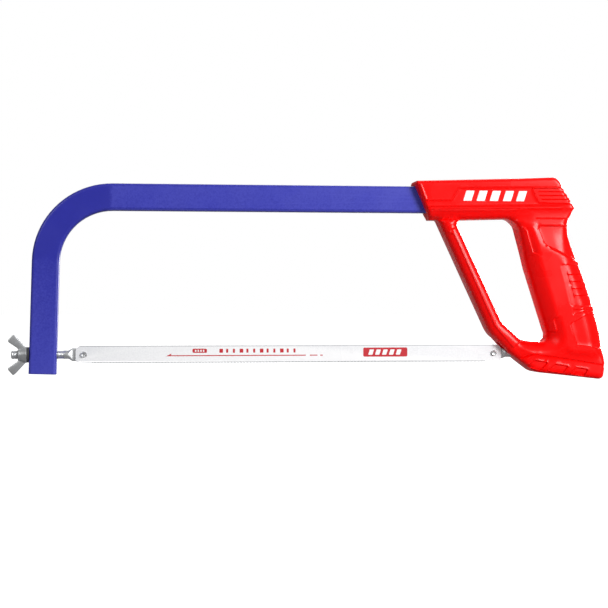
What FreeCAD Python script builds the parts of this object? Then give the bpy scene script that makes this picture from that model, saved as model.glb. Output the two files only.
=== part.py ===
import FreeCAD, Part
import math
import os

import Sketcher
from FreeCAD import Placement, Rotation, Vector

# A hacksaw with a bent tube frame, a two-part D-handle and a screw-tensioned blade.
# X runs along the blade from the wing nut to the handle, Z points up and Y is the thickness.
# The teeth point down, and the blade hangs on the -Y side of its two holders.

doc = FreeCAD.newDocument("hacksaw")
sheet = doc.addObject("Spreadsheet::Sheet", "Sizes")

# Driving dimensions in millimetres, or degrees where the note says so.
DRIVING_SIZES = [
    ("front_pin_x", -164.7, "front blade pin from the middle of the saw"),
    ("pin_line_z", -55.0, "blade pin line from the middle of the saw"),
    ("pin_distance", 300.0, "hole to hole length of the blade"),
    ("throat_height", 113.1, "pin line to the middle of the top bar"),
    ("leg_offset", 28.75, "front pin to the middle of the leg, on the pin line"),
    ("leg_drop", 13.0, "end of the leg below the pin line"),
    ("leg_splay", 1.64, "degrees that the leg leans outward"),
    ("bend_radius", 47.5, "middle line of the tube's bend"),
    ("tube_height", 19.5, "tube section in the plane of the saw"),
    ("tube_wall", 1.2, "wall of the tube"),
    ("tube_corner", 2.2, "outer corner radius of the tube"),
    ("tube_reach", 30.0, "end of the top bar behind the rear pin"),
    ("cap_flange", 0.8, "flange of the leg's end cap"),
    ("cap_plug", 6.0, "depth of the cap's plug"),
    ("bolt_radius", 3.0, "tension bolt and rear stud"),
    ("bolt_tail", 50.9, "outer end of the tension bolt from the front pin"),
    ("thread_gap", 0.05, "radial clearance of a thread"),
    ("guide_gap", 0.2, "radial clearance of the bolt in the leg"),
    ("flat_thick", 3.0, "flattened ends of the bolt and the stud"),
    ("fan_width", 9.2, "flattened end of the tension bolt"),
    ("fan_tip", 4.8, "fan past its pin"),
    ("fan_root", 11.0, "fan behind its pin, where the shank starts"),
    ("tab_width", 8.0, "flattened end of the rear stud"),
    ("tab_tip", 4.8, "tab past its pin"),
    ("tab_root", 9.6, "tab behind its pin, where the shank starts"),
    ("stud_tail", 36.0, "inner end of the rear stud from its pin"),
    ("pin_radius", 1.85, "blade pins"),
    ("pin_play", 0.05, "gap left between pin and hole under tension"),
    ("pin_free_end", 1.6, "pin standing out past the blade"),
    ("pin_head_radius", 2.7, "riveted head of a blade pin"),
    ("pin_head_thick", 0.7, "riveted head of a blade pin"),
    ("blade_width", 12.7, "blade with its teeth"),
    ("blade_thick", 0.65, "blade"),
    ("blade_gap", 0.05, "blade off the face that it lies on"),
    ("blade_end", 5.8, "blade past its hole centres"),
    ("blade_end_corner", 4.0, "corner cut of the blade's ends"),
    ("blade_hole_radius", 2.1, "holes of the blade"),
    ("teeth_per_inch", 24.0, "number of teeth in 25.4 mm"),
    ("tooth_depth", 0.75, "tip to gullet"),
    ("tooth_margin", 6.0, "plain edge between each hole and the first tooth"),
    ("washer_radius", 5.5, "tension washer"),
    ("washer_thick", 1.6, "tension washer on the pin line"),
    ("nut_hub_wall", 2.2, "wing nut round its bolt, at the foot"),
    ("nut_neck_wall", 1.3, "wing nut round its bolt, at the outer end"),
    ("nut_height", 6.4, "wing nut hub"),
    ("wing_span", 29.4, "tip to tip over both wings"),
    ("wing_reach", 13.4, "outermost wing corner from the nut's foot"),
    ("wing_thick", 2.2, "wing"),
    ("bushing_wall", 0.5, "sleeve round the bolt inside the leg"),
    ("bushing_room", 0.1, "gap between the sleeve and the tube's flat walls"),
    ("anchor_x", 22.0, "rear washer's bearing face behind the rear pin"),
    ("anchor_washer_radius", 5.8, "rear washer"),
    ("anchor_washer_thick", 1.2, "rear washer"),
    ("anchor_nut_flats", 10.0, "rear nut across flats"),
    ("anchor_nut_height", 5.0, "rear nut"),
    ("pocket_gap", 0.15, "room round what the handle halves hold"),
    ("shell_half", 12.0, "handle half, parting plane to flank"),
    ("grip_half", 14.0, "handle half, parting plane to grip pad"),
    ("shell_wall", 2.6, "wall of the handle halves"),
    ("shell_round", 2.4, "rounded outer edge of the handle halves"),
    ("tube_cover", 3.7, "handle above the tube at its mouth"),
    ("tube_floor", 5.45, "handle below the tube"),
    ("crown_rise", 3.7, "handle's top edge, rise from mouth to crown"),
    ("mouth_x", -59.8, "handle's mouth from the rear pin"),
    ("heel_x", 82.9, "handle's heel from the rear pin"),
    ("heel_drop", 20.6, "handle's heel below the pin line"),
    ("rib_thick", 2.2, "ribs that cradle the tube"),
    ("screw_radius", 1.5, "handle screws"),
    ("screw_head_radius", 2.9, "handle screws"),
    ("screw_head_thick", 2.0, "handle screws"),
    ("screw_recess", 1.0, "screw head below the flank"),
    ("screw_tip", 9.0, "screw tip past the parting plane"),
    ("screw_gap", 0.1, "room round a screw's head and shank"),
    ("boss_wall", 2.0, "wall of a screw boss"),
]


class Size:
    """A size made from cells of the sheet: its number now, and the expression that gives it."""

    def __init__(self, value, text):
        self.value = float(value)
        self.text = text

    def join(self, other, sign, value):
        other_text = other.text if isinstance(other, Size) else "%.6f" % other
        return Size(value, "(%s %s %s)" % (self.text, sign, other_text))

    def __add__(self, other):
        return self.join(other, "+", self.value + number(other))

    def __sub__(self, other):
        return self.join(other, "-", self.value - number(other))

    def __mul__(self, other):
        return self.join(other, "*", self.value * number(other))

    def __truediv__(self, other):
        return self.join(other, "/", self.value / number(other))

    def __neg__(self):
        return Size(-self.value, "(0 - %s)" % self.text)


def number(size):
    """The plain number of a Size or of a number."""
    return size.value if isinstance(size, Size) else float(size)


for row, (alias, value, note) in enumerate(DRIVING_SIZES, start=1):
    sheet.set("A%d" % row, alias)
    sheet.set("B%d" % row, "%g" % value)
    sheet.set("C%d" % row, note)
    sheet.setAlias("B%d" % row, alias)
doc.recompute()


def cell(alias):
    """The Size that one cell of the sheet holds."""
    return Size(getattr(sheet, alias), "Sizes." + alias)


def bind(thing, **sizes):
    """Bind properties of an object to Sizes; a double underscore stands for a dot."""
    for name, size in sizes.items():
        thing.setExpression(name.replace("__", "."), size.text)


def place(piece, rotation, x=None, y=None, z=None):
    """Turn a piece, and bind where it stands to Sizes."""
    piece.Placement = Placement(Vector(), rotation)
    for axis, size in (("x", x), ("y", y), ("z", z)):
        if size is not None:
            piece.setExpression("Placement.Base." + axis, size.text)


ZERO = Size(0, "0")
UPRIGHT = Rotation()
ALONG_X = Rotation(Vector(0, 0, 1), Vector(1, 0, 0))
TO_NEAR_SIDE = Rotation(Vector(0, 0, 1), Vector(0, -1, 0))
# Local Z along -X or +X with the local X axis, the width of a flattened end, along Z.
TOWARDS_NUT = Rotation(Vector(0, 0, 1), Vector(0, 1, 0), Vector(-1, 0, 0), "ZYX")
TOWARDS_HANDLE = Rotation(Vector(0, 0, 1), Vector(0, -1, 0), Vector(1, 0, 0), "ZYX")

# The tube is as wide as the bolt and its sleeve need.
tube_width = (cell("bolt_radius") + cell("guide_gap") + cell("bushing_wall") + cell("bushing_room")
              + cell("tube_wall")) * 2

# Places that several pieces share.
front_pin_x = cell("front_pin_x")
pin_line_z = cell("pin_line_z")
rear_pin_x = front_pin_x + cell("pin_distance")
bar_z = pin_line_z + cell("throat_height")
bar_end_x = rear_pin_x + cell("tube_reach")
leg_x = front_pin_x - cell("leg_offset")
splay = math.radians(cell("leg_splay").value)
sin_splay = Size(math.sin(splay), "sin(Sizes.leg_splay)")
cos_splay = Size(math.cos(splay), "cos(Sizes.leg_splay)")
tan_splay = Size(math.tan(splay), "tan(Sizes.leg_splay)")
bend_x = leg_x + (cell("bend_radius")
                  + (cell("throat_height") - cell("bend_radius")) * sin_splay) / cos_splay
leg_end_x = leg_x - cell("leg_drop") * tan_splay
leg_end_z = pin_line_z - cell("leg_drop")
leg_face_x = leg_x - cell("tube_height") / 2 / cos_splay
nut_seat_x = leg_face_x - cell("washer_thick")
# Under tension the pins pull outward against the holes' outer sides.
pin_shift = cell("blade_hole_radius") - cell("pin_radius") - cell("pin_play")
blade_back_y = -(cell("flat_thick") / 2 + cell("blade_gap"))


# ---------------------------------------------------------------- drawing and feature helpers

def new_body(label):
    """A PartDesign body, which is one sub-part."""
    return doc.addObject("PartDesign::Body", label)


def new_sketch(body, plane, label, lift=None):
    """A sketch on one of the body's origin planes, lifted along the plane's normal."""
    sketch = body.newObject("Sketcher::SketchObject", label)
    support = [part for part in body.Origin.OriginFeatures if part.Role == plane][0]
    sketch.AttachmentSupport = [(support, "")]
    sketch.MapMode = "FlatFace"
    if lift is not None:
        bind(sketch, AttachmentOffset__Base__z=lift)
    return sketch


def fix(sketch, kind, size, *places):
    """Add a dimension to a sketch and bind it to a Size."""
    index = sketch.addConstraint(Sketcher.Constraint(kind, *places, size.value))
    sketch.setExpression("Constraints[%d]" % index, size.text)


def fix_point(sketch, geometry, end, x, y):
    """Fix one point of a sketch from its origin."""
    fix(sketch, "DistanceX", x, -1, 1, geometry, end)
    fix(sketch, "DistanceY", y, -1, 1, geometry, end)


def draw_polygon(sketch, corners):
    """Draw a closed polygon from (Size, Size) corners."""
    first = sketch.GeometryCount
    points = [Vector(x.value, y.value, 0) for x, y in corners]
    for start, end in zip(points, points[1:] + points[:1]):
        sketch.addGeometry(Part.LineSegment(start, end))
    for i, (x, y) in enumerate(corners):
        following = first + (i + 1) % len(corners)
        sketch.addConstraint(Sketcher.Constraint("Coincident", first + i, 2, following, 1))
        fix_point(sketch, first + i, 1, x, y)


def draw_circle(sketch, radius, x=ZERO, y=ZERO):
    """Draw a circle whose centre and radius are Sizes."""
    circle = Part.Circle(Vector(x.value, y.value, 0), Vector(0, 0, 1), radius.value)
    index = sketch.addGeometry(circle)
    fix(sketch, "Radius", radius, index)
    fix_point(sketch, index, 3, x, y)


def draw_rounded_rectangle(sketch, width, height, corner):
    """Draw a rectangle with round corners about the sketch's origin."""
    half_w, half_h, r = width.value / 2, height.value / 2, corner.value
    quarter = math.pi / 2
    centres = [(half_w - r, half_h - r), (r - half_w, half_h - r),
               (r - half_w, r - half_h), (half_w - r, r - half_h)]
    arcs = []
    lines = []
    for i, (cx, cy) in enumerate(centres):
        circle = Part.Circle(Vector(cx, cy, 0), Vector(0, 0, 1), r)
        arcs.append(sketch.addGeometry(Part.ArcOfCircle(circle, i * quarter, (i + 1) * quarter)))
    sides = [((half_w - r, half_h), (r - half_w, half_h)), ((-half_w, half_h - r), (-half_w, r - half_h)),
             ((r - half_w, -half_h), (half_w - r, -half_h)), ((half_w, r - half_h), (half_w, half_h - r))]
    for start, end in sides:
        lines.append(sketch.addGeometry(Part.LineSegment(Vector(*start, 0), Vector(*end, 0))))
    for i in range(4):
        sketch.addConstraint(Sketcher.Constraint("Tangent", arcs[i], 2, lines[i], 1))
        sketch.addConstraint(Sketcher.Constraint("Tangent", lines[i], 2, arcs[(i + 1) % 4], 1))
        sketch.addConstraint(Sketcher.Constraint("Horizontal" if i % 2 == 0 else "Vertical", lines[i]))
    for arc in arcs[1:]:
        sketch.addConstraint(Sketcher.Constraint("Equal", arcs[0], arc))
    fix(sketch, "Radius", corner, arcs[0])
    fix(sketch, "DistanceX", width, lines[1], 1, lines[3], 1)
    fix(sketch, "DistanceY", height, lines[2], 1, lines[0], 2)
    sketch.addConstraint(Sketcher.Constraint("Symmetric", arcs[0], 3, arcs[2], 3, -1, 1))


def pad(body, sketch, length, middle=False, backward=False):
    """Pad a sketch by a Size."""
    feature = body.newObject("PartDesign::Pad", sketch.Name + "_pad")
    feature.Profile = sketch
    feature.Midplane = middle
    feature.Reversed = backward
    bind(feature, Length=length)
    return feature


def pocket_through(body, sketch):
    """Cut a sketch through the whole body, both ways, and make sure that it cut something."""
    doc.recompute()
    before = body.Shape.Volume
    feature = body.newObject("PartDesign::Pocket", sketch.Name + "_pocket")
    feature.Profile = sketch
    feature.Type = "ThroughAll"
    feature.Midplane = True
    doc.recompute()
    if not body.Shape.Volume < before:
        raise ValueError("%s cut nothing" % feature.Name)
    return feature


def turned(label, profile):
    """A body turned about its own Z axis from (radius, height) corners."""
    body = new_body(label)
    sketch = new_sketch(body, "XZ_Plane", label + "_profile")
    draw_polygon(sketch, profile)
    feature = body.newObject("PartDesign::Revolution", label + "_turned")
    feature.Profile = sketch
    feature.ReferenceAxis = (sketch, ["V_Axis"])
    feature.Angle = 360
    return body


def primitive(kind, label, rotation, x, y, z, **sizes):
    """A Part primitive with bound sizes, turned and placed."""
    piece = doc.addObject("Part::" + kind, label)
    bind(piece, **sizes)
    place(piece, rotation, x, y, z)
    return piece


def boolean(kind, label, base, tool):
    """A Part::Cut or Part::Common of two objects."""
    piece = doc.addObject("Part::" + kind, label)
    piece.Base = base
    piece.Tool = tool
    return piece


# ---------------------------------------------------------------------------------- frame

# Screw places in the handle: x from the rear pin, and height as a share of the way from the
# pin line up to the bar, with an offset from there.
SCREW_PLACES = [(-38.0, 1.0, 0.0), (18.0, 1.0, 0.0), (46.5, 1.0, -8.0),
                (47.0, 0.55, 0.0), (71.0, 0.0, -7.0), (-14.0, 0.44, 0.0)]
TUBE_SCREWS = SCREW_PLACES[:2]


def screw_place(row):
    """The X and Z of one handle screw."""
    offset_x, share, offset_z = row
    return rear_pin_x + offset_x, pin_line_z + cell("throat_height") * share + offset_z


def make_frame_tube():
    """The bent tube: its middle line and its hollow section make a pipe."""
    body = new_body("frame_tube")
    path = new_sketch(body, "XZ_Plane", "tube_path")
    radius = cell("bend_radius")
    centre = Vector(bend_x.value, (bar_z - radius).value, 0)
    arc_end = centre + Vector(-math.cos(splay), math.sin(splay), 0) * radius.value
    arc_top = centre + Vector(0, radius.value, 0)
    path.addGeometry(Part.LineSegment(Vector(bar_end_x.value, bar_z.value, 0), arc_top))
    circle = Part.Circle(centre, Vector(0, 0, 1), radius.value)
    path.addGeometry(Part.ArcOfCircle(circle, math.pi / 2, math.pi - splay))
    path.addGeometry(Part.LineSegment(arc_end, Vector(leg_end_x.value, leg_end_z.value, 0)))
    path.addConstraint(Sketcher.Constraint("Horizontal", 0))
    path.addConstraint(Sketcher.Constraint("Tangent", 0, 2, 1, 1))
    path.addConstraint(Sketcher.Constraint("Tangent", 1, 2, 2, 1))
    fix(path, "Radius", radius, 1)
    fix_point(path, 0, 1, bar_end_x, bar_z)
    fix_point(path, 2, 2, leg_end_x, leg_end_z)
    fix(path, "DistanceX", bend_x, -1, 1, 1, 3)

    section = new_sketch(body, "YZ_Plane", "tube_section", lift=bar_end_x)
    bind(section, AttachmentOffset__Base__y=bar_z)
    wall = cell("tube_wall")
    draw_rounded_rectangle(section, tube_width, cell("tube_height"), cell("tube_corner"))
    draw_rounded_rectangle(section, tube_width - wall * 2, cell("tube_height") - wall * 2,
                           cell("tube_corner") - wall)
    doc.recompute()
    pipe = body.newObject("PartDesign::AdditivePipe", "tube_pipe")
    pipe.Profile = section
    pipe.Spine = path
    doc.recompute()

    bolt_hole = new_sketch(body, "YZ_Plane", "bolt_hole")
    draw_circle(bolt_hole, cell("bolt_radius") + cell("guide_gap"), y=pin_line_z)
    pocket_through(body, bolt_hole)
    cross_holes = new_sketch(body, "XZ_Plane", "cross_holes")
    for row in TUBE_SCREWS:
        draw_circle(cross_holes, cell("screw_radius") + cell("screw_gap"), *screw_place(row))
    pocket_through(body, cross_holes)


def make_leg_end_cap():
    """The plug that closes the leg: a flange under the tube and a stub inside it."""
    body = new_body("leg_end_cap")
    wall = cell("tube_wall")
    flange = new_sketch(body, "XY_Plane", "cap_flange")
    draw_rounded_rectangle(flange, cell("tube_height"), tube_width, cell("tube_corner"))
    pad(body, flange, cell("cap_flange"), backward=True)
    stub = new_sketch(body, "XY_Plane", "cap_stub")
    draw_rounded_rectangle(stub, cell("tube_height") - wall * 2, tube_width - wall * 2,
                           cell("tube_corner") - wall)
    pad(body, stub, cell("cap_plug"))
    place(body, Rotation(Vector(0, 1, 0), cell("leg_splay").value), leg_end_x, None, leg_end_z)
    bind(body, Placement__Rotation__Angle=cell("leg_splay"))


def leg_prism(label, height, width, corner):
    """A rounded block in line with the leg and centred on the pin line."""
    body = new_body(label)
    section = new_sketch(body, "XY_Plane", label + "_section")
    draw_rounded_rectangle(section, height, width, corner)
    pad(body, section, tube_width * 3, middle=True)
    place(body, Rotation(Vector(0, 1, 0), cell("leg_splay").value), leg_x, None, pin_line_z)
    bind(body, Placement__Rotation__Angle=cell("leg_splay"))
    return body


def ring(label, outer, inner, start_x, length):
    """A ring along X on the pin line."""
    body = primitive("Cylinder", label + "_outer", ALONG_X, start_x, ZERO, pin_line_z,
                     Radius=outer, Height=length)
    bore = primitive("Cylinder", label + "_bore", ALONG_X, start_x - 1, ZERO, pin_line_z,
                     Radius=inner, Height=length + 2)
    return boolean("Cut", label + "_ring", body, bore)


def make_leg_rings():
    """The washer under the wing nut and the sleeve in the leg, both shaped to the leaning leg."""
    bore = cell("bolt_radius") + cell("guide_gap")
    height = cell("tube_height")
    corner = cell("tube_corner")
    wall = cell("tube_wall")
    washer = ring("tension_washer", cell("washer_radius"), bore, nut_seat_x,
                  cell("washer_thick") + height / 4)
    outside = leg_prism("leg_outside", height, tube_width * 3, corner)
    boolean("Cut", "tension_washer", washer, outside)
    sleeve = ring("leg_bushing", bore + cell("bushing_wall"), bore, leg_x - height, height * 2)
    inside = leg_prism("leg_inside", height - wall * 2, tube_width - wall * 2, corner - wall)
    boolean("Common", "leg_bushing", sleeve, inside)


# ------------------------------------------------------------------------- blade and holders

def make_flattened_stud(label, rotation, pin_x, width, tip, root, tail):
    """A round stud whose end is flattened and drilled; local Z runs from the pin to the tail."""
    body = new_body(label)
    half = width / 2
    shank = cell("bolt_radius")
    flat = new_sketch(body, "XZ_Plane", label + "_flat")
    draw_polygon(flat, [(-(half * 0.55), -tip), (half * 0.55, -tip), (half, -(tip * 0.5)),
                        (half, tip), (shank, root), (-shank, root), (-half, tip), (-half, -(tip * 0.5))])
    pad(body, flat, cell("flat_thick"), middle=True)
    circle = new_sketch(body, "XY_Plane", label + "_shank", lift=root - 0.6)
    draw_circle(circle, shank)
    pad(body, circle, tail - root + 0.6)
    hole = new_sketch(body, "XZ_Plane", label + "_hole")
    draw_circle(hole, cell("pin_radius"))
    pocket_through(body, hole)
    place(body, rotation, pin_x, ZERO, pin_line_z)


def make_blade_pin(label, pin_x):
    """A pin riveted into a flattened end, with its head on the far side."""
    back = -(cell("flat_thick") / 2)
    head = back - cell("pin_head_thick")
    end = cell("flat_thick") / 2 + cell("blade_gap") + cell("blade_thick") + cell("pin_free_end")
    edge = cell("pin_radius") - 0.4
    body = turned(label, [(ZERO, head), (cell("pin_head_radius") - 0.4, head),
                          (cell("pin_head_radius"), back), (cell("pin_radius"), back),
                          (cell("pin_radius"), end - 0.4), (edge, end), (ZERO, end)])
    place(body, TO_NEAR_SIDE, pin_x, ZERO, pin_line_z)


def make_blade():
    """The blade: a strip with cut corners and saw teeth along its lower edge."""
    blade = doc.addObject("Part::Feature", "blade")
    length = cell("pin_distance").value
    end = cell("blade_end").value
    half = cell("blade_width").value / 2
    corner = cell("blade_end_corner").value
    pitch = 25.4 / cell("teeth_per_inch").value
    depth = cell("tooth_depth").value
    first = cell("tooth_margin").value
    gullet = depth - half
    points = [(-end, half - corner), (corner - end, half), (length + end - corner, half),
              (length + end, half - corner), (length + end, gullet + corner),
              (length + end - corner, gullet)]
    # Each tooth cuts on its front side, which faces the wing nut end.
    count = int((length - 2 * first) / pitch)
    for i in range(count, 0, -1):
        start = first + (i - 1) * pitch
        points += [(start + pitch, gullet), (start + 0.2 * pitch, -half), (start, gullet)]
    points += [(corner - end, gullet), (-end, gullet + corner)]
    corners = [Vector(x, 0, z) for x, z in points]
    thick = cell("blade_thick").value
    shape = Part.Face(Part.makePolygon(corners + corners[:1])).extrude(Vector(0, thick, 0))
    for x in (0, length):
        hole = Part.makeCylinder(cell("blade_hole_radius").value, 3 * thick, Vector(x, -thick, 0),
                                 Vector(0, 1, 0))
        shape = shape.cut(hole)
    blade.Shape = shape
    place(blade, UPRIGHT, front_pin_x, blade_back_y - cell("blade_thick"), pin_line_z)


def make_wing_nut():
    """The wing nut: a turned hub with its bore, and two flat wings that sweep outward."""
    foot = cell("bolt_radius") + cell("nut_hub_wall")
    neck = cell("bolt_radius") + cell("nut_neck_wall")
    bore = cell("bolt_radius") + cell("thread_gap")
    height = cell("nut_height")
    body = turned("wing_nut", [(bore, ZERO), (foot + 0.5, ZERO), (foot + 0.5, height * 0.12),
                               (foot, height * 0.2), (neck, height * 0.9), (neck - 0.5, height),
                               (bore, height)])
    tip = cell("wing_span") / 2
    reach = cell("wing_reach")
    for side, name in ((1, "upper"), (-1, "lower")):
        wing = new_sketch(body, "XZ_Plane", name + "_wing")
        draw_polygon(wing, [((neck - 1) * side, height * 0.12), (foot * side, height * 0.1),
                            ((tip - 1.2) * side, reach - 5.2), (tip * side, reach - 3.6),
                            ((tip - 4.2) * side, reach), ((tip - 5.6) * side, reach - 0.3),
                            ((neck + 0.4) * side, height * 1.05), ((neck - 1) * side, height * 0.9)])
        pad(body, wing, cell("wing_thick"), middle=True)
    place(body, TOWARDS_NUT, nut_seat_x, ZERO, pin_line_z)


def make_rear_anchor():
    """The washer and nut that hold the rear stud inside the handle."""
    seat = rear_pin_x + pin_shift + cell("anchor_x")
    thick = cell("anchor_washer_thick")
    bore = cell("bolt_radius") + cell("thread_gap")
    washer = turned("rear_anchor_washer", [(bore, ZERO), (cell("anchor_washer_radius"), ZERO),
                                           (cell("anchor_washer_radius"), thick), (bore, thick)])
    place(washer, TOWARDS_HANDLE, seat, ZERO, pin_line_z)
    nut = new_body("rear_anchor_nut")
    corner = cell("anchor_nut_flats") / 2 / math.cos(math.pi / 6)
    outline = new_sketch(nut, "XY_Plane", "nut_outline")
    draw_polygon(outline, [(corner * math.sin(i * math.pi / 3), corner * math.cos(i * math.pi / 3))
                           for i in range(6)])
    draw_circle(outline, bore)
    pad(nut, outline, cell("anchor_nut_height"))
    place(nut, TOWARDS_HANDLE, seat + thick, ZERO, pin_line_z)


# --------------------------------------------------------------------------------- handle

def rounded_face(corners):
    """A flat face in the XZ plane from (x, z, corner radius) rows."""
    points = [Vector(x, 0, z) for x, z, radius in corners]
    edges = []
    starts = []
    ends = []
    middles = []
    for i, (x, z, radius) in enumerate(corners):
        here = points[i]
        back = (points[i - 1] - here).normalize()
        ahead = (points[(i + 1) % len(points)] - here).normalize()
        half_angle = back.getAngle(ahead) / 2
        run = radius / math.tan(half_angle)
        bisector = (back + ahead).normalize()
        starts.append(here + back * run)
        ends.append(here + ahead * run)
        middles.append(here + bisector * (radius / math.sin(half_angle) - radius))
    for i in range(len(corners)):
        edges.append(Part.Arc(starts[i], middles[i], ends[i]).toShape())
        following = starts[(i + 1) % len(corners)]
        edges.append(Part.LineSegment(ends[i], following).toShape())
    return Part.Face(Part.Wire(edges))


def handle_outline():
    """The handle's silhouette without its opening: (x, z, corner radius) rows."""
    x0 = rear_pin_x.value
    low = pin_line_z.value
    bar = bar_z.value
    height = bar - low
    roof = bar + (cell("tube_height") / 2 + cell("tube_cover")).value
    crown = roof + cell("crown_rise").value
    floor = bar - (cell("tube_height") / 2 + cell("tube_floor")).value
    mouth = x0 + cell("mouth_x").value
    heel = x0 + cell("heel_x").value
    sole = low - cell("heel_drop").value
    return [
        (mouth + 0.5, roof, 2.0),
        (x0 + 45.0, crown, 2.5),
        (x0 + 60.2, bar - 4.6, 3.0),
        (x0 + 54.8, bar - 17.0, 6.0),
        (x0 + 55.6, bar - 23.7, 12.0),
        (x0 + 73.2, low + height * 0.37, 60.0),
        (heel - 1.4, low + height * 0.10, 40.0),
        (heel, sole, 4.0),
        (x0 + 29.0, sole + 6.6, 12.0),
        (x0 + 11.0, low - 0.2, 26.0),
        (x0 - 4.4, low + height * 0.137, 20.0),
        (x0 - 42.5, floor, 4.0),
        (x0 - 49.6, floor, 1.2),
    ]


def opening_outline():
    """The finger opening: (x, z, corner radius) rows."""
    x0 = rear_pin_x.value
    low = pin_line_z.value
    height = cell("throat_height").value
    lintel = bar_z.value - (cell("tube_height") / 2 + cell("tube_floor")).value + 0.9
    return [
        (x0 - 30.6, lintel - 0.5, 3.5),
        (x0 + 15.6, lintel + 0.6, 10.0),
        (x0 + 23.8, low + height * 0.56, 60.0),
        (x0 + 41.6, low + height * 0.070, 5.0),
        (x0 + 21.0, low + height * 0.083, 16.0),
        (x0 + 5.0, low + height * 0.20, 16.0),
    ]


def grip_outline():
    """The raised grip pad on the handle's flank: (x, z, corner radius) rows."""
    x0 = rear_pin_x.value
    low = pin_line_z.value
    height = cell("throat_height").value
    heel = x0 + cell("heel_x").value
    return [
        (x0 + 23.0, low + height * 0.83, 4.0),
        (x0 + 51.0, low + height * 0.80, 4.0),
        (x0 + 69.6, low + height * 0.37, 30.0),
        (heel - 5.5, low + height * 0.06, 10.0),
        (heel - 5.0, low - 9.0, 4.0),
        (x0 + 46.0, low - 4.5, 6.0),
        (x0 + 44.5, low + height * 0.10, 6.0),
        (x0 + 27.8, low + height * 0.56, 30.0),
    ]


def plate(face, inner_y, outer_y):
    """The solid between two distances from the parting plane, on the -Y side."""
    shape = face.copy()
    shape.translate(Vector(0, -outer_y, 0))
    return shape.extrude(Vector(0, outer_y - inner_y, 0))


def round_flank(shape, y, radius):
    """Round the edges of a plate's outer face."""
    edges = [edge for edge in shape.Edges
             if all(abs(vertex.Point.y + y) < 1e-6 for vertex in edge.Vertexes)]
    return shape.makeFillet(radius, edges)


def box(low_x, high_x, low_y, high_y, low_z, high_z):
    """A box from its six limits."""
    return Part.makeBox(high_x - low_x, high_y - low_y, high_z - low_z, Vector(low_x, low_y, low_z))


def rod(radius, start, length, direction):
    """A cylinder from a start point."""
    return Part.makeCylinder(radius, length, start, direction)


def handle_half():
    """The hollow half on the -Y side, with its ribs, bosses and anchor block but no screw holes."""
    half = cell("shell_half").value
    grip = cell("grip_half").value
    wall = cell("shell_wall").value
    rounding = cell("shell_round").value
    silhouette = rounded_face(handle_outline()).cut(rounded_face(opening_outline())).Faces[0]
    flank = round_flank(plate(silhouette, 0, half), half, rounding)
    pad_shape = round_flank(plate(rounded_face(grip_outline()), half - wall, grip), grip, 1.5)
    shell = flank.fuse(pad_shape)
    cavity_face = silhouette.makeOffset2D(-wall)
    cavity = plate(cavity_face, -1, half - wall)
    shell = shell.cut(cavity)

    x0 = rear_pin_x.value
    low = pin_line_z.value
    bar = bar_z.value
    filled = plate(silhouette, 0, half - wall / 2)
    inserts = []
    rib = cell("rib_thick").value
    tube_half = cell("tube_height").value / 2
    for rib_x in (x0 - 46.0, x0 - 26.0, x0 - 2.0, bar_end_x.value - 2.0, bar_end_x.value + 2 * rib):
        inserts.append(box(rib_x, rib_x + rib, -half, 0, bar - 2 * tube_half, bar + 2 * tube_half))
    stud_reach = cell("stud_tail").value + 2 * wall
    inserts.append(box(x0 + 8.0, x0 + stud_reach, -half, 0, low - 10.0, low + 9.0))
    boss = (cell("screw_head_radius") + cell("screw_gap")).value + 0.4
    for row in SCREW_PLACES:
        x, z = screw_place(row)
        inserts.append(rod(boss, Vector(x.value, -half, z.value), half, Vector(0, 1, 0)))
    for insert in inserts:
        shell = shell.fuse(insert.common(filled))
    return shell


def held_space():
    """What the handle halves leave free: the tube, the rear stud, its nut and the blade's end."""
    gap = cell("pocket_gap").value
    x0 = rear_pin_x.value
    low = pin_line_z.value
    bar = bar_z.value
    stud_x = x0 + pin_shift.value
    mouth = x0 + cell("mouth_x").value - 5
    tube_y = tube_width.value / 2 + gap
    tube_z = cell("tube_height").value / 2 + gap
    space = box(mouth, bar_end_x.value + gap, -tube_y, tube_y, bar - tube_z, bar + tube_z)
    along = Vector(1, 0, 0)
    seat = stud_x + cell("anchor_x").value
    washer = cell("anchor_washer_thick").value
    nut = cell("anchor_nut_height").value
    axis = Vector(x0, 0, low)
    tail = cell("stud_tail").value
    space = space.fuse(rod((cell("bolt_radius") + cell("thread_gap")).value, axis, tail + 1, along))
    washer_space = rod(cell("anchor_washer_radius").value + gap, Vector(seat, 0, low), washer + gap, along)
    space = space.fuse(washer_space)
    corner = cell("anchor_nut_flats").value / 2 / math.cos(math.pi / 6) + gap
    nut_space = rod(corner, Vector(seat, 0, low), washer + nut + gap, along)
    space = space.fuse(nut_space)
    slot_near = (cell("flat_thick") / 2 + cell("blade_gap") + cell("blade_thick")
                 + cell("pin_free_end")).value + 0.8
    slot_far = (cell("flat_thick") / 2 + cell("pin_head_thick")).value + 0.8
    slot_half = cell("blade_width").value / 2 + 1.6
    root = cell("tab_root").value + 0.8
    return space.fuse(box(x0 - 12.0, x0 + root, -slot_near, slot_far, low - slot_half, low + slot_half))


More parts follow.
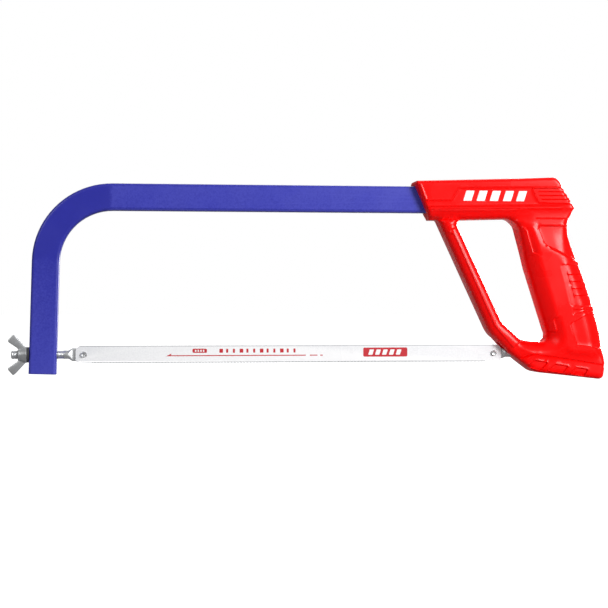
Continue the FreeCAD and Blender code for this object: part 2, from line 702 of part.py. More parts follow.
def make_handle_shells():
    """The near half takes the screws' threads, the far half their shanks and heads."""
    near = handle_half()
    far = near.mirror(Vector(), Vector(0, 1, 0))
    space = held_space()
    near = near.cut(space)
    far = far.cut(space)
    across = Vector(0, 1, 0)
    half = cell("shell_half").value
    gap = cell("screw_gap").value
    shank = cell("screw_radius").value
    head = cell("screw_head_radius").value
    head_seat = half - (cell("screw_recess") + cell("screw_head_thick")).value
    for row in SCREW_PLACES:
        x, z = screw_place(row)
        tip = Vector(x.value, -cell("screw_tip").value - gap, z.value)
        near = near.cut(rod(shank, tip, -tip.y, across))
        far = far.cut(rod(shank + gap, Vector(x.value, 0, z.value), half, across))
        far = far.cut(rod(head + gap, Vector(x.value, head_seat, z.value), half, across))
    for label, shape in (("handle_shell_near", near), ("handle_shell_far", far)):
        shell = doc.addObject("Part::Feature", label)
        shell.Shape = shape


def make_handle_screws():
    """Pan-head screws from the far side; their heads sit in counterbores."""
    head = cell("screw_head_radius")
    shank = cell("screw_radius")
    top = cell("shell_half") - cell("screw_recess")
    seat = top - cell("screw_head_thick")
    length = seat + cell("screw_tip")
    for index, row in enumerate(SCREW_PLACES, start=1):
        x, z = screw_place(row)
        screw = turned("handle_screw_%d" % index,
                       [(ZERO, -cell("screw_head_thick")), (head - 0.6, -cell("screw_head_thick")),
                        (head, -(cell("screw_head_thick") * 0.5)), (head, ZERO), (shank, ZERO),
                        (shank, length - 1.0), (shank * 0.3, length), (ZERO, length)])
        place(screw, TO_NEAR_SIDE, x, seat, z)


# ------------------------------------------------------------------------- build and export

NODES = ["frame_tube", "leg_end_cap", "leg_bushing", "tension_washer", "wing_nut", "tension_bolt",
         "front_blade_pin", "blade", "rear_blade_holder", "rear_blade_pin", "rear_anchor_washer",
         "rear_anchor_nut", "handle_shell_near", "handle_shell_far"]
NODES += ["handle_screw_%d" % index for index in range(1, len(SCREW_PLACES) + 1)]

make_frame_tube()
make_leg_end_cap()
make_leg_rings()
make_flattened_stud("tension_bolt", TOWARDS_NUT, front_pin_x - pin_shift, cell("fan_width"),
                    cell("fan_tip"), cell("fan_root"), cell("bolt_tail"))
make_blade_pin("front_blade_pin", front_pin_x - pin_shift)
make_blade()
make_flattened_stud("rear_blade_holder", TOWARDS_HANDLE, rear_pin_x + pin_shift, cell("tab_width"),
                    cell("tab_tip"), cell("tab_root"), cell("stud_tail"))
make_blade_pin("rear_blade_pin", rear_pin_x + pin_shift)
make_wing_nut()
make_rear_anchor()
make_handle_shells()
make_handle_screws()
doc.recompute()

for item in doc.Objects:
    if any(word in item.State for word in ("Invalid", "Error")):
        raise ValueError("%s did not compute: %s" % (item.Label, item.State))

os.makedirs("parts", exist_ok=True)
pieces = {label: doc.getObjectsByLabel(label)[0] for label in NODES}
for label, piece in pieces.items():
    if piece.Shape.isNull() or not piece.Shape.isValid():
        raise ValueError("%s has no valid shape" % label)
    if len(piece.Shape.Solids) != 1:
        raise ValueError("%s is not one solid" % label)
for label, piece in pieces.items():
    piece.Shape.exportStep(os.path.join("parts", label + ".step"))
    extent = piece.Shape.BoundBox
    print("%-20s %9.1f mm3  x %7.2f %7.2f  y %6.2f %6.2f  z %7.2f %7.2f"
          % (label, piece.Shape.Volume, extent.XMin, extent.XMax, extent.YMin, extent.YMax,
             extent.ZMin, extent.ZMax))
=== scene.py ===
"""A hacksaw dressed for show: blue tube frame, white blade, zinc hardware and a moulded red handle."""
import logging
import math
from dataclasses import dataclass, field
from enum import Enum
from typing import Callable, Iterable, Sequence

import bmesh
import bpy
import numpy as np
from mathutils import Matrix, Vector
from mathutils.geometry import delaunay_2d_cdt


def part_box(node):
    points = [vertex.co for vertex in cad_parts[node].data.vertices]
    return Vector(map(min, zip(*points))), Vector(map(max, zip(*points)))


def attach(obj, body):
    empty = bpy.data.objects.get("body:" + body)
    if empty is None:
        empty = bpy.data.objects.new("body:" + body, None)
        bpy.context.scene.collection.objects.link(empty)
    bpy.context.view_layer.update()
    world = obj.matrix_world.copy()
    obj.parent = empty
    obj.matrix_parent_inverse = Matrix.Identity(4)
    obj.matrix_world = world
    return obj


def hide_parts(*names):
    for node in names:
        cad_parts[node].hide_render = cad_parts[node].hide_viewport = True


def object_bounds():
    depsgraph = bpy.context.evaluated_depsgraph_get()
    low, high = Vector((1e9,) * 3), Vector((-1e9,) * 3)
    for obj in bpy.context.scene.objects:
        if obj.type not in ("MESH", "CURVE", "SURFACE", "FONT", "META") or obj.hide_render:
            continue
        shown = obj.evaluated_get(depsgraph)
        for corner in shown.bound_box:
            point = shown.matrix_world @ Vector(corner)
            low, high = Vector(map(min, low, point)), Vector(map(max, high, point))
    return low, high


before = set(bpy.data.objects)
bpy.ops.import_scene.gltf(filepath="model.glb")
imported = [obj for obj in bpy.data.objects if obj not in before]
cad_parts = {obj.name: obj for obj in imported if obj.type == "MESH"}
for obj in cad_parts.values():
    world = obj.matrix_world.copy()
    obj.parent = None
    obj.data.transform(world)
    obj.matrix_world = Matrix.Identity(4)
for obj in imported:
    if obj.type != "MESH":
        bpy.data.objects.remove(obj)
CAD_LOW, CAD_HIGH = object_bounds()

LOG = logging.getLogger("hacksaw")
MM = 0.001
Colour = tuple[float, float, float]
Point = tuple[float, float]
Corner = tuple[float, float, float]
Place = tuple[float, float, float]
Ring = list[Place]
Rgba = tuple[float, float, float, float]
Piece = bpy.types.Object
Node = bpy.types.Node
Tree = bpy.types.NodeTree
Socket = bpy.types.NodeSocket


class Body(Enum):
    """The moving bodies of the saw."""

    FRAME = "frame"
    NUT = "nut"
    BOLT = "bolt"
    BLADE = "blade"


class Side(Enum):
    """Which flank a handle half makes: -1 faces -Y, 1 faces +Y."""

    NEAR = -1
    FAR = 1


# ------------------------------------------------------------------------------- small tools

def linear(red: int, green: int, blue: int) -> Rgba:
    """Turn a display colour into the shader's linear colour.

    Args:
        red: Red, 0 to 255.
        green: Green, 0 to 255.
        blue: Blue, 0 to 255.

    Returns:
        Linear red, green, blue and alpha.
    """
    parts = [c / 255 for c in (red, green, blue)]
    r, g, b = [c / 12.92 if c <= 0.04045 else ((c + 0.055) / 1.055) ** 2.4 for c in parts]
    return (r, g, b, 1.0)


def smooth(low: float, high: float, value: np.ndarray) -> np.ndarray:
    """Rise smoothly from 0 at low to 1 at high, or fall where low is the larger."""
    t = np.clip((value - low) / (high - low), 0, 1)
    return t * t * (3 - 2 * t)


def centre(node: str) -> Vector:
    """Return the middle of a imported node's box."""
    low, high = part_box(node)
    return (low + high) / 2


def make_mesh(name: str, points: Iterable[Sequence[float]], faces: Iterable[Sequence[int]],
              sharp_degrees: float = 35.0) -> Piece:
    """Make a mesh object from points and faces, with its sharp edges kept crisp.

    Args:
        name: Name of the piece.
        points: Places in metres.
        faces: Indices into points.
        sharp_degrees: Edges that turn more than this stay sharp.

    Returns:
        The new object, linked to the scene.
    """
    mesh = bpy.data.meshes.new(name)
    mesh.from_pydata([tuple(map(float, p)) for p in points], [], [tuple(map(int, f)) for f in faces])
    mesh.validate()
    mesh.update()
    piece = bpy.data.objects.new(name, mesh)
    bpy.context.scene.collection.objects.link(piece)
    mesh.polygons.foreach_set("use_smooth", [True] * len(mesh.polygons))
    mesh.set_sharp_from_angle(angle=math.radians(sharp_degrees))
    return piece


def loft(name: str, rings: Sequence[Ring], sharp_degrees: float = 35.0, round_again: bool = False) -> Piece:
    """Join rings of equal length into one closed skin.

    Args:
        name: Name of the piece.
        rings: Rings of points in metres, all with the same count.
        sharp_degrees: Edges that turn more than this stay sharp.
        round_again: Whether the last ring joins the first; otherwise both ends are closed with a face.

    Returns:
        The new object.
    """
    count, total = len(rings[0]), len(rings)
    points = [p for ring in rings for p in ring]
    faces = []
    for i in range(total if round_again else total - 1):
        a, b = i * count, (i + 1) % total * count
        faces += [(a + j, a + (j + 1) % count, b + (j + 1) % count, b + j) for j in range(count)]
    if not round_again:
        last = (total - 1) * count
        faces += [tuple(reversed(range(count))), tuple(range(last, last + count))]
    piece = make_mesh(name, points, faces, sharp_degrees)
    outward(piece)
    return piece


def outward(piece: Piece) -> None:
    """Turn a closed piece's faces outward.

    Args:
        piece: The piece.
    """
    work = bmesh.new()
    work.from_mesh(piece.data)
    bmesh.ops.recalc_face_normals(work, faces=work.faces)
    work.to_mesh(piece.data)
    work.free()


def ring_about(start: Vector, axis: str, along: float, radii: Sequence[float]) -> Ring:
    """Return a ring of points about an axis.

    Args:
        start: The axis point at distance 0, in metres.
        axis: A sign and a letter, such as "+x" or "-y".
        along: Distance along the axis, in millimetres.
        radii: Radius of each point, in millimetres.

    Returns:
        The ring, in metres.
    """
    away = along * MM if axis[0] == "+" else -along * MM
    ring = []
    for k, radius in enumerate(radii):
        a = 2 * math.pi * k / len(radii)
        u, v = radius * math.cos(a) * MM, radius * math.sin(a) * MM
        offset = {"x": (away, u, v), "y": (u, away, v), "z": (u, v, away)}[axis[1]]
        ring.append(tuple(start[i] + offset[i] for i in range(3)))
    return ring


def turned(name: str, profile: Sequence[Point], start: Vector, axis: str, steps: int = 64,
           sharp_degrees: float = 35.0, bored: bool = False) -> Piece:
    """Turn a profile about an axis, as on a lathe.

    Args:
        name: Name of the piece.
        profile: (radius, distance along the axis) rows in millimetres, none on the axis itself.
        start: The axis point at distance 0, in metres.
        axis: A sign and a letter, such as "+x" or "-y".
        steps: Points round each ring.
        sharp_degrees: Edges that turn more than this stay sharp.
        bored: Whether the profile runs on into the wall of a through hole.

    Returns:
        The new object, a closed solid.
    """
    rings = [ring_about(start, axis, along, [radius] * steps) for radius, along in profile]
    return loft(name, rings, sharp_degrees, bored)


def rounded_path(corners: Sequence[Corner], step: float, closed: bool = True) -> np.ndarray:
    """Sample a path with rounded corners.

    Args:
        corners: (x, z, corner radius) rows.
        step: Largest distance between samples.
        closed: Whether the last corner joins the first.

    Returns:
        The samples, one (x, z) row each.
    """
    places = np.array([c[:2] for c in corners], float)
    count = len(corners)
    out: list[np.ndarray] = []
    for i in range(count):
        here = places[i]
        if not closed and i in (0, count - 1):
            out.append(here)
            continue
        back, ahead = places[i - 1] - here, places[(i + 1) % count] - here
        reach = min(np.linalg.norm(back), np.linalg.norm(ahead))
        back, ahead = back / np.linalg.norm(back), ahead / np.linalg.norm(ahead)
        half = math.acos(float(np.clip(back @ ahead, -1, 1))) / 2
        run = min(corners[i][2] / max(math.tan(half), 1e-6), reach * 0.499)
        if run < 1e-3:
            out.append(here)
            continue
        radius = run * math.tan(half)
        mid = (back + ahead) / np.linalg.norm(back + ahead)
        hub = here + mid * (radius / math.sin(half))
        first, last = here + back * run - hub, here + ahead * run - hub
        turn = math.atan2(first[0] * last[1] - first[1] * last[0], float(first @ last))
        pieces = max(2, int(abs(turn) * radius / step) + 1)
        for k in range(pieces + 1):
            a = turn * k / pieces
            out.append(hub + np.array([first[0] * math.cos(a) - first[1] * math.sin(a),
                                       first[0] * math.sin(a) + first[1] * math.cos(a)]))
    return spread(np.array(out), step, closed)


def spread(path: np.ndarray, step: float, closed: bool) -> np.ndarray:
    """Add samples to a path so that none are further apart than step.

    Args:
        path: (x, z) rows.
        step: Largest distance between samples.
        closed: Whether the last sample joins the first.

    Returns:
        The denser path.
    """
    out = []
    for i in range(len(path) if closed else len(path) - 1):
        a, b = path[i], path[(i + 1) % len(path)]
        length = float(np.linalg.norm(b - a))
        if length < 1e-4:
            continue
        pieces = max(1, math.ceil(length / step))
        out += [a + (b - a) * k / pieces for k in range(pieces)]
    if not closed:
        out.append(path[-1])
    return np.array(out)


def distance(points: np.ndarray, path: np.ndarray, closed: bool) -> np.ndarray:
    """Measure from points to the nearest place on a path.

    Args:
        points: (x, z) rows.
        path: (x, z) rows.
        closed: Whether the last sample joins the first.

    Returns:
        Each point's distance.
    """
    a = path if closed else path[:-1]
    b = np.roll(path, -1, axis=0) if closed else path[1:]
    best = np.full(len(points), 1e9)
    run = b - a
    squared = np.maximum((run ** 2).sum(1), 1e-12)
    for start in range(0, len(points), 2000):
        p = points[start:start + 2000, None, :]
        t = np.clip(((p - a) * run).sum(2) / squared, 0, 1)
        gap = p - (a + t[..., None] * run)
        best[start:start + 2000] = np.sqrt((gap ** 2).sum(2).min(1))
    return best


def inside(points: np.ndarray, path: np.ndarray) -> np.ndarray:
    """Find the points that a closed path surrounds.

    Args:
        points: (x, z) rows.
        path: (x, z) rows.

    Returns:
        True for each point inside.
    """
    x, z = points[:, 0], points[:, 1]
    result = np.zeros(len(points), bool)
    ahead = np.roll(path, -1, axis=0)
    for (ax, az), (bx, bz) in zip(path, ahead):
        if az == bz:
            continue
        crosses = (az > z) != (bz > z)
        result ^= crosses & (x < (bx - ax) * (z - az) / (bz - az) + ax)
    return result


def left_turning(path: np.ndarray) -> bool:
    """Return whether a closed path runs counter-clockwise."""
    ahead = np.roll(path, -1, axis=0)
    return float((path[:, 0] * ahead[:, 1] - ahead[:, 0] * path[:, 1]).sum()) > 0


def offset_path(path: np.ndarray, left: float, closed: bool) -> np.ndarray:
    """Shift a path sideways.

    Args:
        path: (x, z) rows.
        left: How far to the left, or to the right where negative.
        closed: Whether the last sample joins the first.

    Returns:
        The shifted path, with as many samples.
    """
    ahead = np.roll(path, -1, axis=0) - path
    behind = path - np.roll(path, 1, axis=0)
    if not closed:
        ahead[-1], behind[0] = behind[-1], ahead[0]
    run = ahead / np.maximum(np.linalg.norm(ahead, axis=1, keepdims=True), 1e-9)
    run = run + behind / np.maximum(np.linalg.norm(behind, axis=1, keepdims=True), 1e-9)
    run = run / np.maximum(np.linalg.norm(run, axis=1, keepdims=True), 1e-9)
    return path + np.stack([-run[:, 1], run[:, 0]], 1) * left


def shrunk(path: np.ndarray, inset: float) -> np.ndarray:
    """Return a closed path shifted inward, or outward where inset is negative."""
    return offset_path(path, inset if left_turning(path) else -inset, True)


# ------------------------------------------------------------------------- shader node groups

class Groups:
    """The shared surface effects, each a node group that is built once."""

    made: dict[str, Tree] = {}

    @classmethod
    def get(cls, name: str, inputs: Sequence[tuple[str, float]], outputs: Sequence[str],
            wire: Callable[[Tree, Node, Node], None]) -> Tree:
        """Return a group by name, building it on first use.

        Args:
            name: Name of the group.
            inputs: (name, default) of each number that it takes.
            outputs: Name of each number that it gives.
            wire: Adds and links the nodes, from the tree, its input node and its output node.

        Returns:
            The node group.
        """
        if name not in cls.made:
            tree = bpy.data.node_groups.new(name, "ShaderNodeTree")
            tree.interface.new_socket(name="Vector", in_out="INPUT", socket_type="NodeSocketVector")
            for label, value in inputs:
                socket = tree.interface.new_socket(name=label, in_out="INPUT", socket_type="NodeSocketFloat")
                socket.default_value = value
            for label in outputs:
                tree.interface.new_socket(name=label, in_out="OUTPUT", socket_type="NodeSocketFloat")
            wire(tree, tree.nodes.new("NodeGroupInput"), tree.nodes.new("NodeGroupOutput"))
            cls.made[name] = tree
        return cls.made[name]


def add_noise(tree: Tree, vector: Socket, scale: Socket | float,
              detail: float, roughness: float = 0.55) -> Socket:
    """Add a noise texture.

    Args:
        tree: The tree to add to.
        vector: Where the texture is looked up.
        scale: A number, or the socket that gives it.
        detail: Number of finer layers.
        roughness: Share of the finer layers.

    Returns:
        The noise's value, 0 to 1.
    """
    node = tree.nodes.new("ShaderNodeTexNoise")
    node.inputs["Detail"].default_value = detail
    node.inputs["Roughness"].default_value = roughness
    tree.links.new(vector, node.inputs["Vector"])
    if isinstance(scale, float):
        node.inputs["Scale"].default_value = scale
    else:
        tree.links.new(scale, node.inputs["Scale"])
    return node.outputs["Fac"]


def add_math(tree: Tree, operation: str, *values: Socket | float) -> Socket:
    """Add a math node.

    Args:
        tree: The tree to add to.
        operation: What it does.
        *values: Its inputs, each a number or the socket that gives it.

    Returns:
        The result.
    """
    node = tree.nodes.new("ShaderNodeMath")
    node.operation = operation
    for slot, value in zip(node.inputs, values):
        if isinstance(value, (int, float)):
            slot.default_value = value
        else:
            tree.links.new(value, slot)
    return node.outputs[0]


def add_range(tree: Tree, value: Socket, low: float, high: float,
              to_low: float = 0.0, to_high: float = 1.0) -> Socket:
    """Add a smooth map from one range to another that is clamped at both ends.

    Args:
        tree: The tree to add to.
        value: What is mapped.
        low: Start of the first range.
        high: End of the first range.
        to_low: Start of the second range.
        to_high: End of the second range.

    Returns:
        The mapped value.
    """
    node = tree.nodes.new("ShaderNodeMapRange")
    node.interpolation_type = "SMOOTHSTEP"
    for label, number in (("From Min", low), ("From Max", high), ("To Min", to_low), ("To Max", to_high)):
        node.inputs[label].default_value = number
    tree.links.new(value, node.inputs["Value"])
    return node.outputs["Result"]


def wire_grain(tree: Tree, given: Node, out: Node) -> None:
    """Wire a fine moulded or sprayed grain: small bumps and pits over a broader unevenness.

    Args:
        tree: The group's nodes.
        given: Its input node.
        out: Its output node.
    """
    vector, scale = given.outputs["Vector"], given.outputs["Scale"]
    fine = add_noise(tree, vector, scale, 3.0)
    broad = add_noise(tree, vector, add_math(tree, "MULTIPLY", scale, 0.06), 2.0)
    cell = tree.nodes.new("ShaderNodeTexVoronoi")
    tree.links.new(vector, cell.inputs["Vector"])
    tree.links.new(add_math(tree, "MULTIPLY", scale, 0.8), cell.inputs["Scale"])
    pits = add_range(tree, cell.outputs["Distance"], 0.05, 0.5)
    pits = add_math(tree, "MULTIPLY", pits, given.outputs["Pits"])
    height = add_math(tree, "ADD", add_math(tree, "MULTIPLY", fine, 0.6), pits)
    tree.links.new(height, out.inputs["Height"])
    tree.links.new(broad, out.inputs["Tone"])
    tree.links.new(fine, out.inputs["Speckle"])


def wire_edges_and_corners(tree: Tree, given: Node, out: Node) -> None:
    """Wire lighter edges, broken up by noise, that are partly rubbed and partly a painted highlight, and
    painted shade that darkens concave corners.

    Args:
        tree: The group's nodes.
        given: Its input node.
        out: Its output node.
    """
    shape = tree.nodes.new("ShaderNodeNewGeometry")
    noise = add_noise(tree, given.outputs["Vector"], given.outputs["Scale"], 4.0)
    uneven = add_math(tree, "MULTIPLY", add_math(tree, "SUBTRACT", noise, 0.5), 0.12)
    point = add_math(tree, "ADD", shape.outputs["Pointiness"], uneven)
    # Convex edges: a mask for rubbed edges and a painted highlight.
    edge = add_range(tree, point, 0.52, 0.62)
    # Concave corners: a mask for painted shade.
    corner = add_range(tree, point, 0.49, 0.42)
    tree.links.new(add_math(tree, "MULTIPLY", edge, given.outputs["Edge"]), out.inputs["Edge"])
    tree.links.new(add_math(tree, "MULTIPLY", corner, given.outputs["Grime"]), out.inputs["Grime"])


def wire_smudge(tree: Tree, given: Node, out: Node) -> None:
    """Wire soft patches of handling and fine scratches along one direction.

    Args:
        tree: The group's nodes.
        given: Its input node.
        out: Its output node.
    """
    vector, scale = given.outputs["Vector"], given.outputs["Scale"]
    patches = add_range(tree, add_noise(tree, vector, scale, 2.0), 0.35, 0.72)
    stretch = tree.nodes.new("ShaderNodeMapping")
    stretch.inputs["Scale"].default_value = (0.05, 1.0, 1.4)
    tree.links.new(vector, stretch.inputs["Vector"])
    line = add_noise(tree, stretch.outputs["Vector"], add_math(tree, "MULTIPLY", scale, 22.0), 2.0, 0.7)
    scratches = add_range(tree, line, 0.6, 0.78)
    tree.links.new(patches, out.inputs["Patches"])
    tree.links.new(add_math(tree, "MULTIPLY", scratches, given.outputs["Scratches"]), out.inputs["Scratches"])


@dataclass(frozen=True)
class Finish:
    """One finish, made as a material from the shared effects."""

    name: str
    base: Colour
    worn_and_highlight: Colour
    roughness: float
    metallic: float = 0.0
    specular: float = 0.5
    coat: float = 0.0
    coat_roughness: float = 0.1
    grain_scale: float = 2600.0
    grain_height: float = 0.02
    pits: float = 0.3
    tone: float = 0.12
    roughness_spread: float = 0.12
    # Strength of the lighter edge colour: rubbing and a painted highlight.
    edge_wear_and_highlight: float = 0.3
    # Strength of the painted shade in concave corners.
    grime: float = 0.25
    scratches: float = 0.3
    edge_and_corner_scale: float = 900.0
    mark_scale: float = 38.0
    scratch_roughness: float = 0.18
    # How dark the painted corner shade is, as a share of the base colour.
    corner_shade_factor: float = 0.35
    bump_strength: float = 0.35

    def effect(self, tree: Tree, name: str, vector: Socket,
               wire: Callable, outputs: Sequence[str], **values: float) -> Node:
        """Place a shared effect in a material.

        Args:
            tree: The material's nodes.
            name: Name of the effect.
            vector: Where it is looked up.
            wire: Builds it on first use.
            outputs: What it gives.
            **values: What it takes.

        Returns:
            The group node.
        """
        node = tree.nodes.new("ShaderNodeGroup")
        node.node_tree = Groups.get(name, list(values.items()), outputs, wire)
        for label, value in values.items():
            node.inputs[label].default_value = value
        tree.links.new(vector, node.inputs["Vector"])
        return node

    def make(self) -> bpy.types.Material:
        """Return the material, building it on first use."""
        found = bpy.data.materials.get(self.name)
        if found is not None:
            return found
        material = bpy.data.materials.new(self.name)
        material.use_nodes = True
        tree = material.node_tree
        shader = tree.nodes["Principled BSDF"]
        vector = tree.nodes.new("ShaderNodeTexCoord").outputs["Object"]
        grain = self.effect(tree, "surface_grain", vector, wire_grain, ("Height", "Tone", "Speckle"),
                            Scale=self.grain_scale, Pits=self.pits)
        edge_and_corner = self.effect(tree, "edge_wear_and_highlight", vector, wire_edges_and_corners, ("Edge", "Grime"),
                           Scale=self.edge_and_corner_scale, Edge=self.edge_wear_and_highlight, Grime=self.grime)
        smudge = self.effect(tree, "handling_marks", vector, wire_smudge, ("Patches", "Scratches"),
                             Scale=self.mark_scale, Scratches=self.scratches)
        base = linear(*self.base)
        dark = tuple(c * (1 - self.tone) for c in base[:3]) + (1.0,)
        light = tuple(min(1.0, c * (1 + self.tone) + 0.01 * self.tone) for c in base[:3]) + (1.0,)
        shade = self.mix(tree, grain.outputs["Tone"], dark, light)
        # Convex edges take the lighter edge colour: partly rubbing, partly a painted highlight.
        shade = self.mix(tree, edge_and_corner.outputs["Edge"], shade, linear(*self.worn_and_highlight))
        # Concave corners are mixed towards a darker copy of the base colour: painted shade.
        grime = tuple(c * self.corner_shade_factor for c in base[:3]) + (1.0,)
        shade = self.mix(tree, edge_and_corner.outputs["Grime"], shade, grime)
        self.colour(tree, vector, shade, shader)
        half = self.roughness_spread / 2
        rough = add_range(tree, smudge.outputs["Patches"], 0.0, 1.0,
                          self.roughness - half, self.roughness + half)
        scratched = add_math(tree, "MULTIPLY", smudge.outputs["Scratches"], self.scratch_roughness)
        rough = add_math(tree, "ADD", rough, scratched)
        tree.links.new(rough, shader.inputs["Roughness"])
        for label, value in (("Metallic", self.metallic), ("Specular IOR Level", self.specular),
                             ("Coat Weight", self.coat), ("Coat Roughness", self.coat_roughness)):
            shader.inputs[label].default_value = value
        bump = tree.nodes.new("ShaderNodeBump")
        bump.inputs["Strength"].default_value = self.bump_strength
        bump.inputs["Distance"].default_value = self.grain_height * MM
        tree.links.new(grain.outputs["Height"], bump.inputs["Height"])
        tree.links.new(bump.outputs["Normal"], shader.inputs["Normal"])
        return material

    @staticmethod
    def mix(tree: Tree, share: Socket, first: Socket | Rgba, second: Socket | Rgba) -> Socket:
        """Mix two colours.

        Args:
            tree: The material's nodes.
            share: Share of the second colour.
            first: A colour, or the socket that gives it.
            second: A colour, or the socket that gives it.

        Returns:
            The mixed colour.
        """
        node = tree.nodes.new("ShaderNodeMix")
        node.data_type = "RGBA"
        tree.links.new(share, node.inputs[0])
        for slot, value in ((node.inputs[6], first), (node.inputs[7], second)):
            if isinstance(value, tuple):
                slot.default_value = value
            else:
                tree.links.new(value, slot)
        return node.outputs[2]

    def colour(self, tree: Tree, vector: Socket, shade: Socket, shader: Node) -> None:
        """Give the shader its colour."""
        tree.links.new(shade, shader.inputs["Base Color"])


@dataclass(frozen=True)
class GroundEdgeFinish(Finish):
    """White enamel, bare steel along the toothed edge, and a painted grey shade line along the back."""

    edge_z: float = 0.0
    back_z: float = 0.0
    steel: Colour = (104, 108, 116)
    band: float = 0.0012
    line: float = 0.0005
    line_strength: float = 0.4
    ragged: float = 0.0003

    def colour(self, tree: Tree, vector: Socket, shade: Socket, shader: Node) -> None:
        """Mix bare steel in along the toothed edge, and the same grey as a painted shade line along the back.

        Args:
            tree: The material's nodes.
            vector: Place on the blade.
            shade: The enamel's colour.
            shader: The shader that takes the colour.
        """
        split = tree.nodes.new("ShaderNodeSeparateXYZ")
        tree.links.new(vector, split.inputs[0])
        ragged = add_math(tree, "MULTIPLY", add_noise(tree, vector, 1800.0, 2.0), self.ragged)
        height = add_math(tree, "ADD", split.outputs["Z"], ragged)
        bare = add_range(tree, height, self.edge_z + self.band, self.edge_z + self.band * 0.7)
        # A grey line along the back edge: painted shade where the top edge turns from the light.
        back = add_range(tree, height, self.back_z - self.line * 1.4, self.back_z - self.line, 0.0,
                         self.line_strength)
        mixed = self.mix(tree, add_math(tree, "MAXIMUM", bare, back), shade, linear(*self.steel))
        tree.links.new(mixed, shader.inputs["Base Color"])


# The lighter edge colours of the blue paint, red plastic and zinc are partly rubbing and partly a painted
# highlight on the edges.
BLUE_PAINT = Finish("blue_powder_coat", (43, 46, 158), (84, 88, 200), 0.32, specular=0.42, coat=0.08,
                    coat_roughness=0.2, grain_scale=1500.0, grain_height=0.03, tone=0.06, edge_wear_and_highlight=0.5,
                    grime=0.2, scratches=0.1, roughness_spread=0.06)
BLUE_PLASTIC = Finish("blue_cap_plastic", (50, 53, 150), (80, 84, 185), 0.5, grain_scale=3000.0)
RED_PLASTIC = Finish("red_moulded_plastic", (248, 2, 1), (255, 34, 26), 0.29, specular=0.2,
                     grain_scale=3400.0, grain_height=0.018, pits=0.4, tone=0.05, roughness_spread=0.08,
                     edge_wear_and_highlight=0.4, grime=0.5, scratches=0.1)
ZINC = Finish("zinc_plate", (204, 210, 216), (235, 238, 244), 0.27, metallic=1.0, grain_scale=2000.0,
              grain_height=0.01, tone=0.1, grime=0.7, scratches=0.6)
CAST_ZINC = Finish("cast_zinc", (196, 196, 192), (224, 225, 222), 0.4, metallic=0.7, grain_scale=900.0,
                   grain_height=0.07, pits=0.8, tone=0.14, edge_wear_and_highlight=0.6, grime=0.85)
BLACK_STEEL = Finish("black_steel", (44, 45, 48), (120, 122, 126), 0.4, metallic=0.85, edge_wear_and_highlight=0.7)
BLACK_SCREW = Finish("black_screw", (24, 24, 26), (90, 92, 96), 0.38, metallic=0.8, edge_wear_and_highlight=0.6)
WHITE_MARK = Finish("white_inlay", (246, 246, 246), (255, 255, 255), 0.42, grain_scale=2400.0, tone=0.03,
                    edge_wear_and_highlight=0.1, grime=0.1, scratches=0.2)
RED_PRINT = Finish("red_print", (196, 32, 44), (214, 60, 70), 0.5, grain_scale=2800.0, tone=0.05,
                   edge_wear_and_highlight=0.1, grime=0.0, scratches=0.5)


def dress(piece: Piece, finish: Finish) -> None:
    """Give a piece one finish."""
    piece.data.materials.clear()
    piece.data.materials.append(finish.make())


def place(piece: Piece, body: Body, slot: str, finish: Finish, *stands_for: str) -> None:
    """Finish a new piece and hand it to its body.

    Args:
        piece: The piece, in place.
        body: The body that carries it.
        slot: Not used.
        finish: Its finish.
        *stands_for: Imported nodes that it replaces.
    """
    dress(piece, finish)
    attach(piece, body.value)
    if stands_for:
        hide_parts(*stands_for)
    LOG.info("%s on %s: %d faces", piece.name, body.value, len(piece.data.polygons))


# ------------------------------------------------------------------------------- tube frame

@dataclass
class TubeFrame:
    """The bent blue tube with its end cap, sleeve and washer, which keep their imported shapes."""

    finishes: dict[str, tuple[str, Finish]] = field(default_factory=lambda: {
        "frame_tube": ("blue_paint", BLUE_PAINT),
        "leg_end_cap": ("blue_plastic", BLUE_PLASTIC),
        "leg_bushing": ("black_steel", BLACK_STEEL),
        "tension_washer": ("black_steel", BLACK_STEEL),
        "rear_anchor_washer": ("zinc_plate", ZINC),
        "rear_anchor_nut": ("zinc_plate", ZINC),
    })

    def build(self) -> None:
        """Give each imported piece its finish."""
        for node, (slot, finish) in self.finishes.items():
            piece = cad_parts[node]
            dress(piece, finish)
            LOG.info("%s keeps its packed shape", node)


# ------------------------------------------------------------------------- blade and hardware

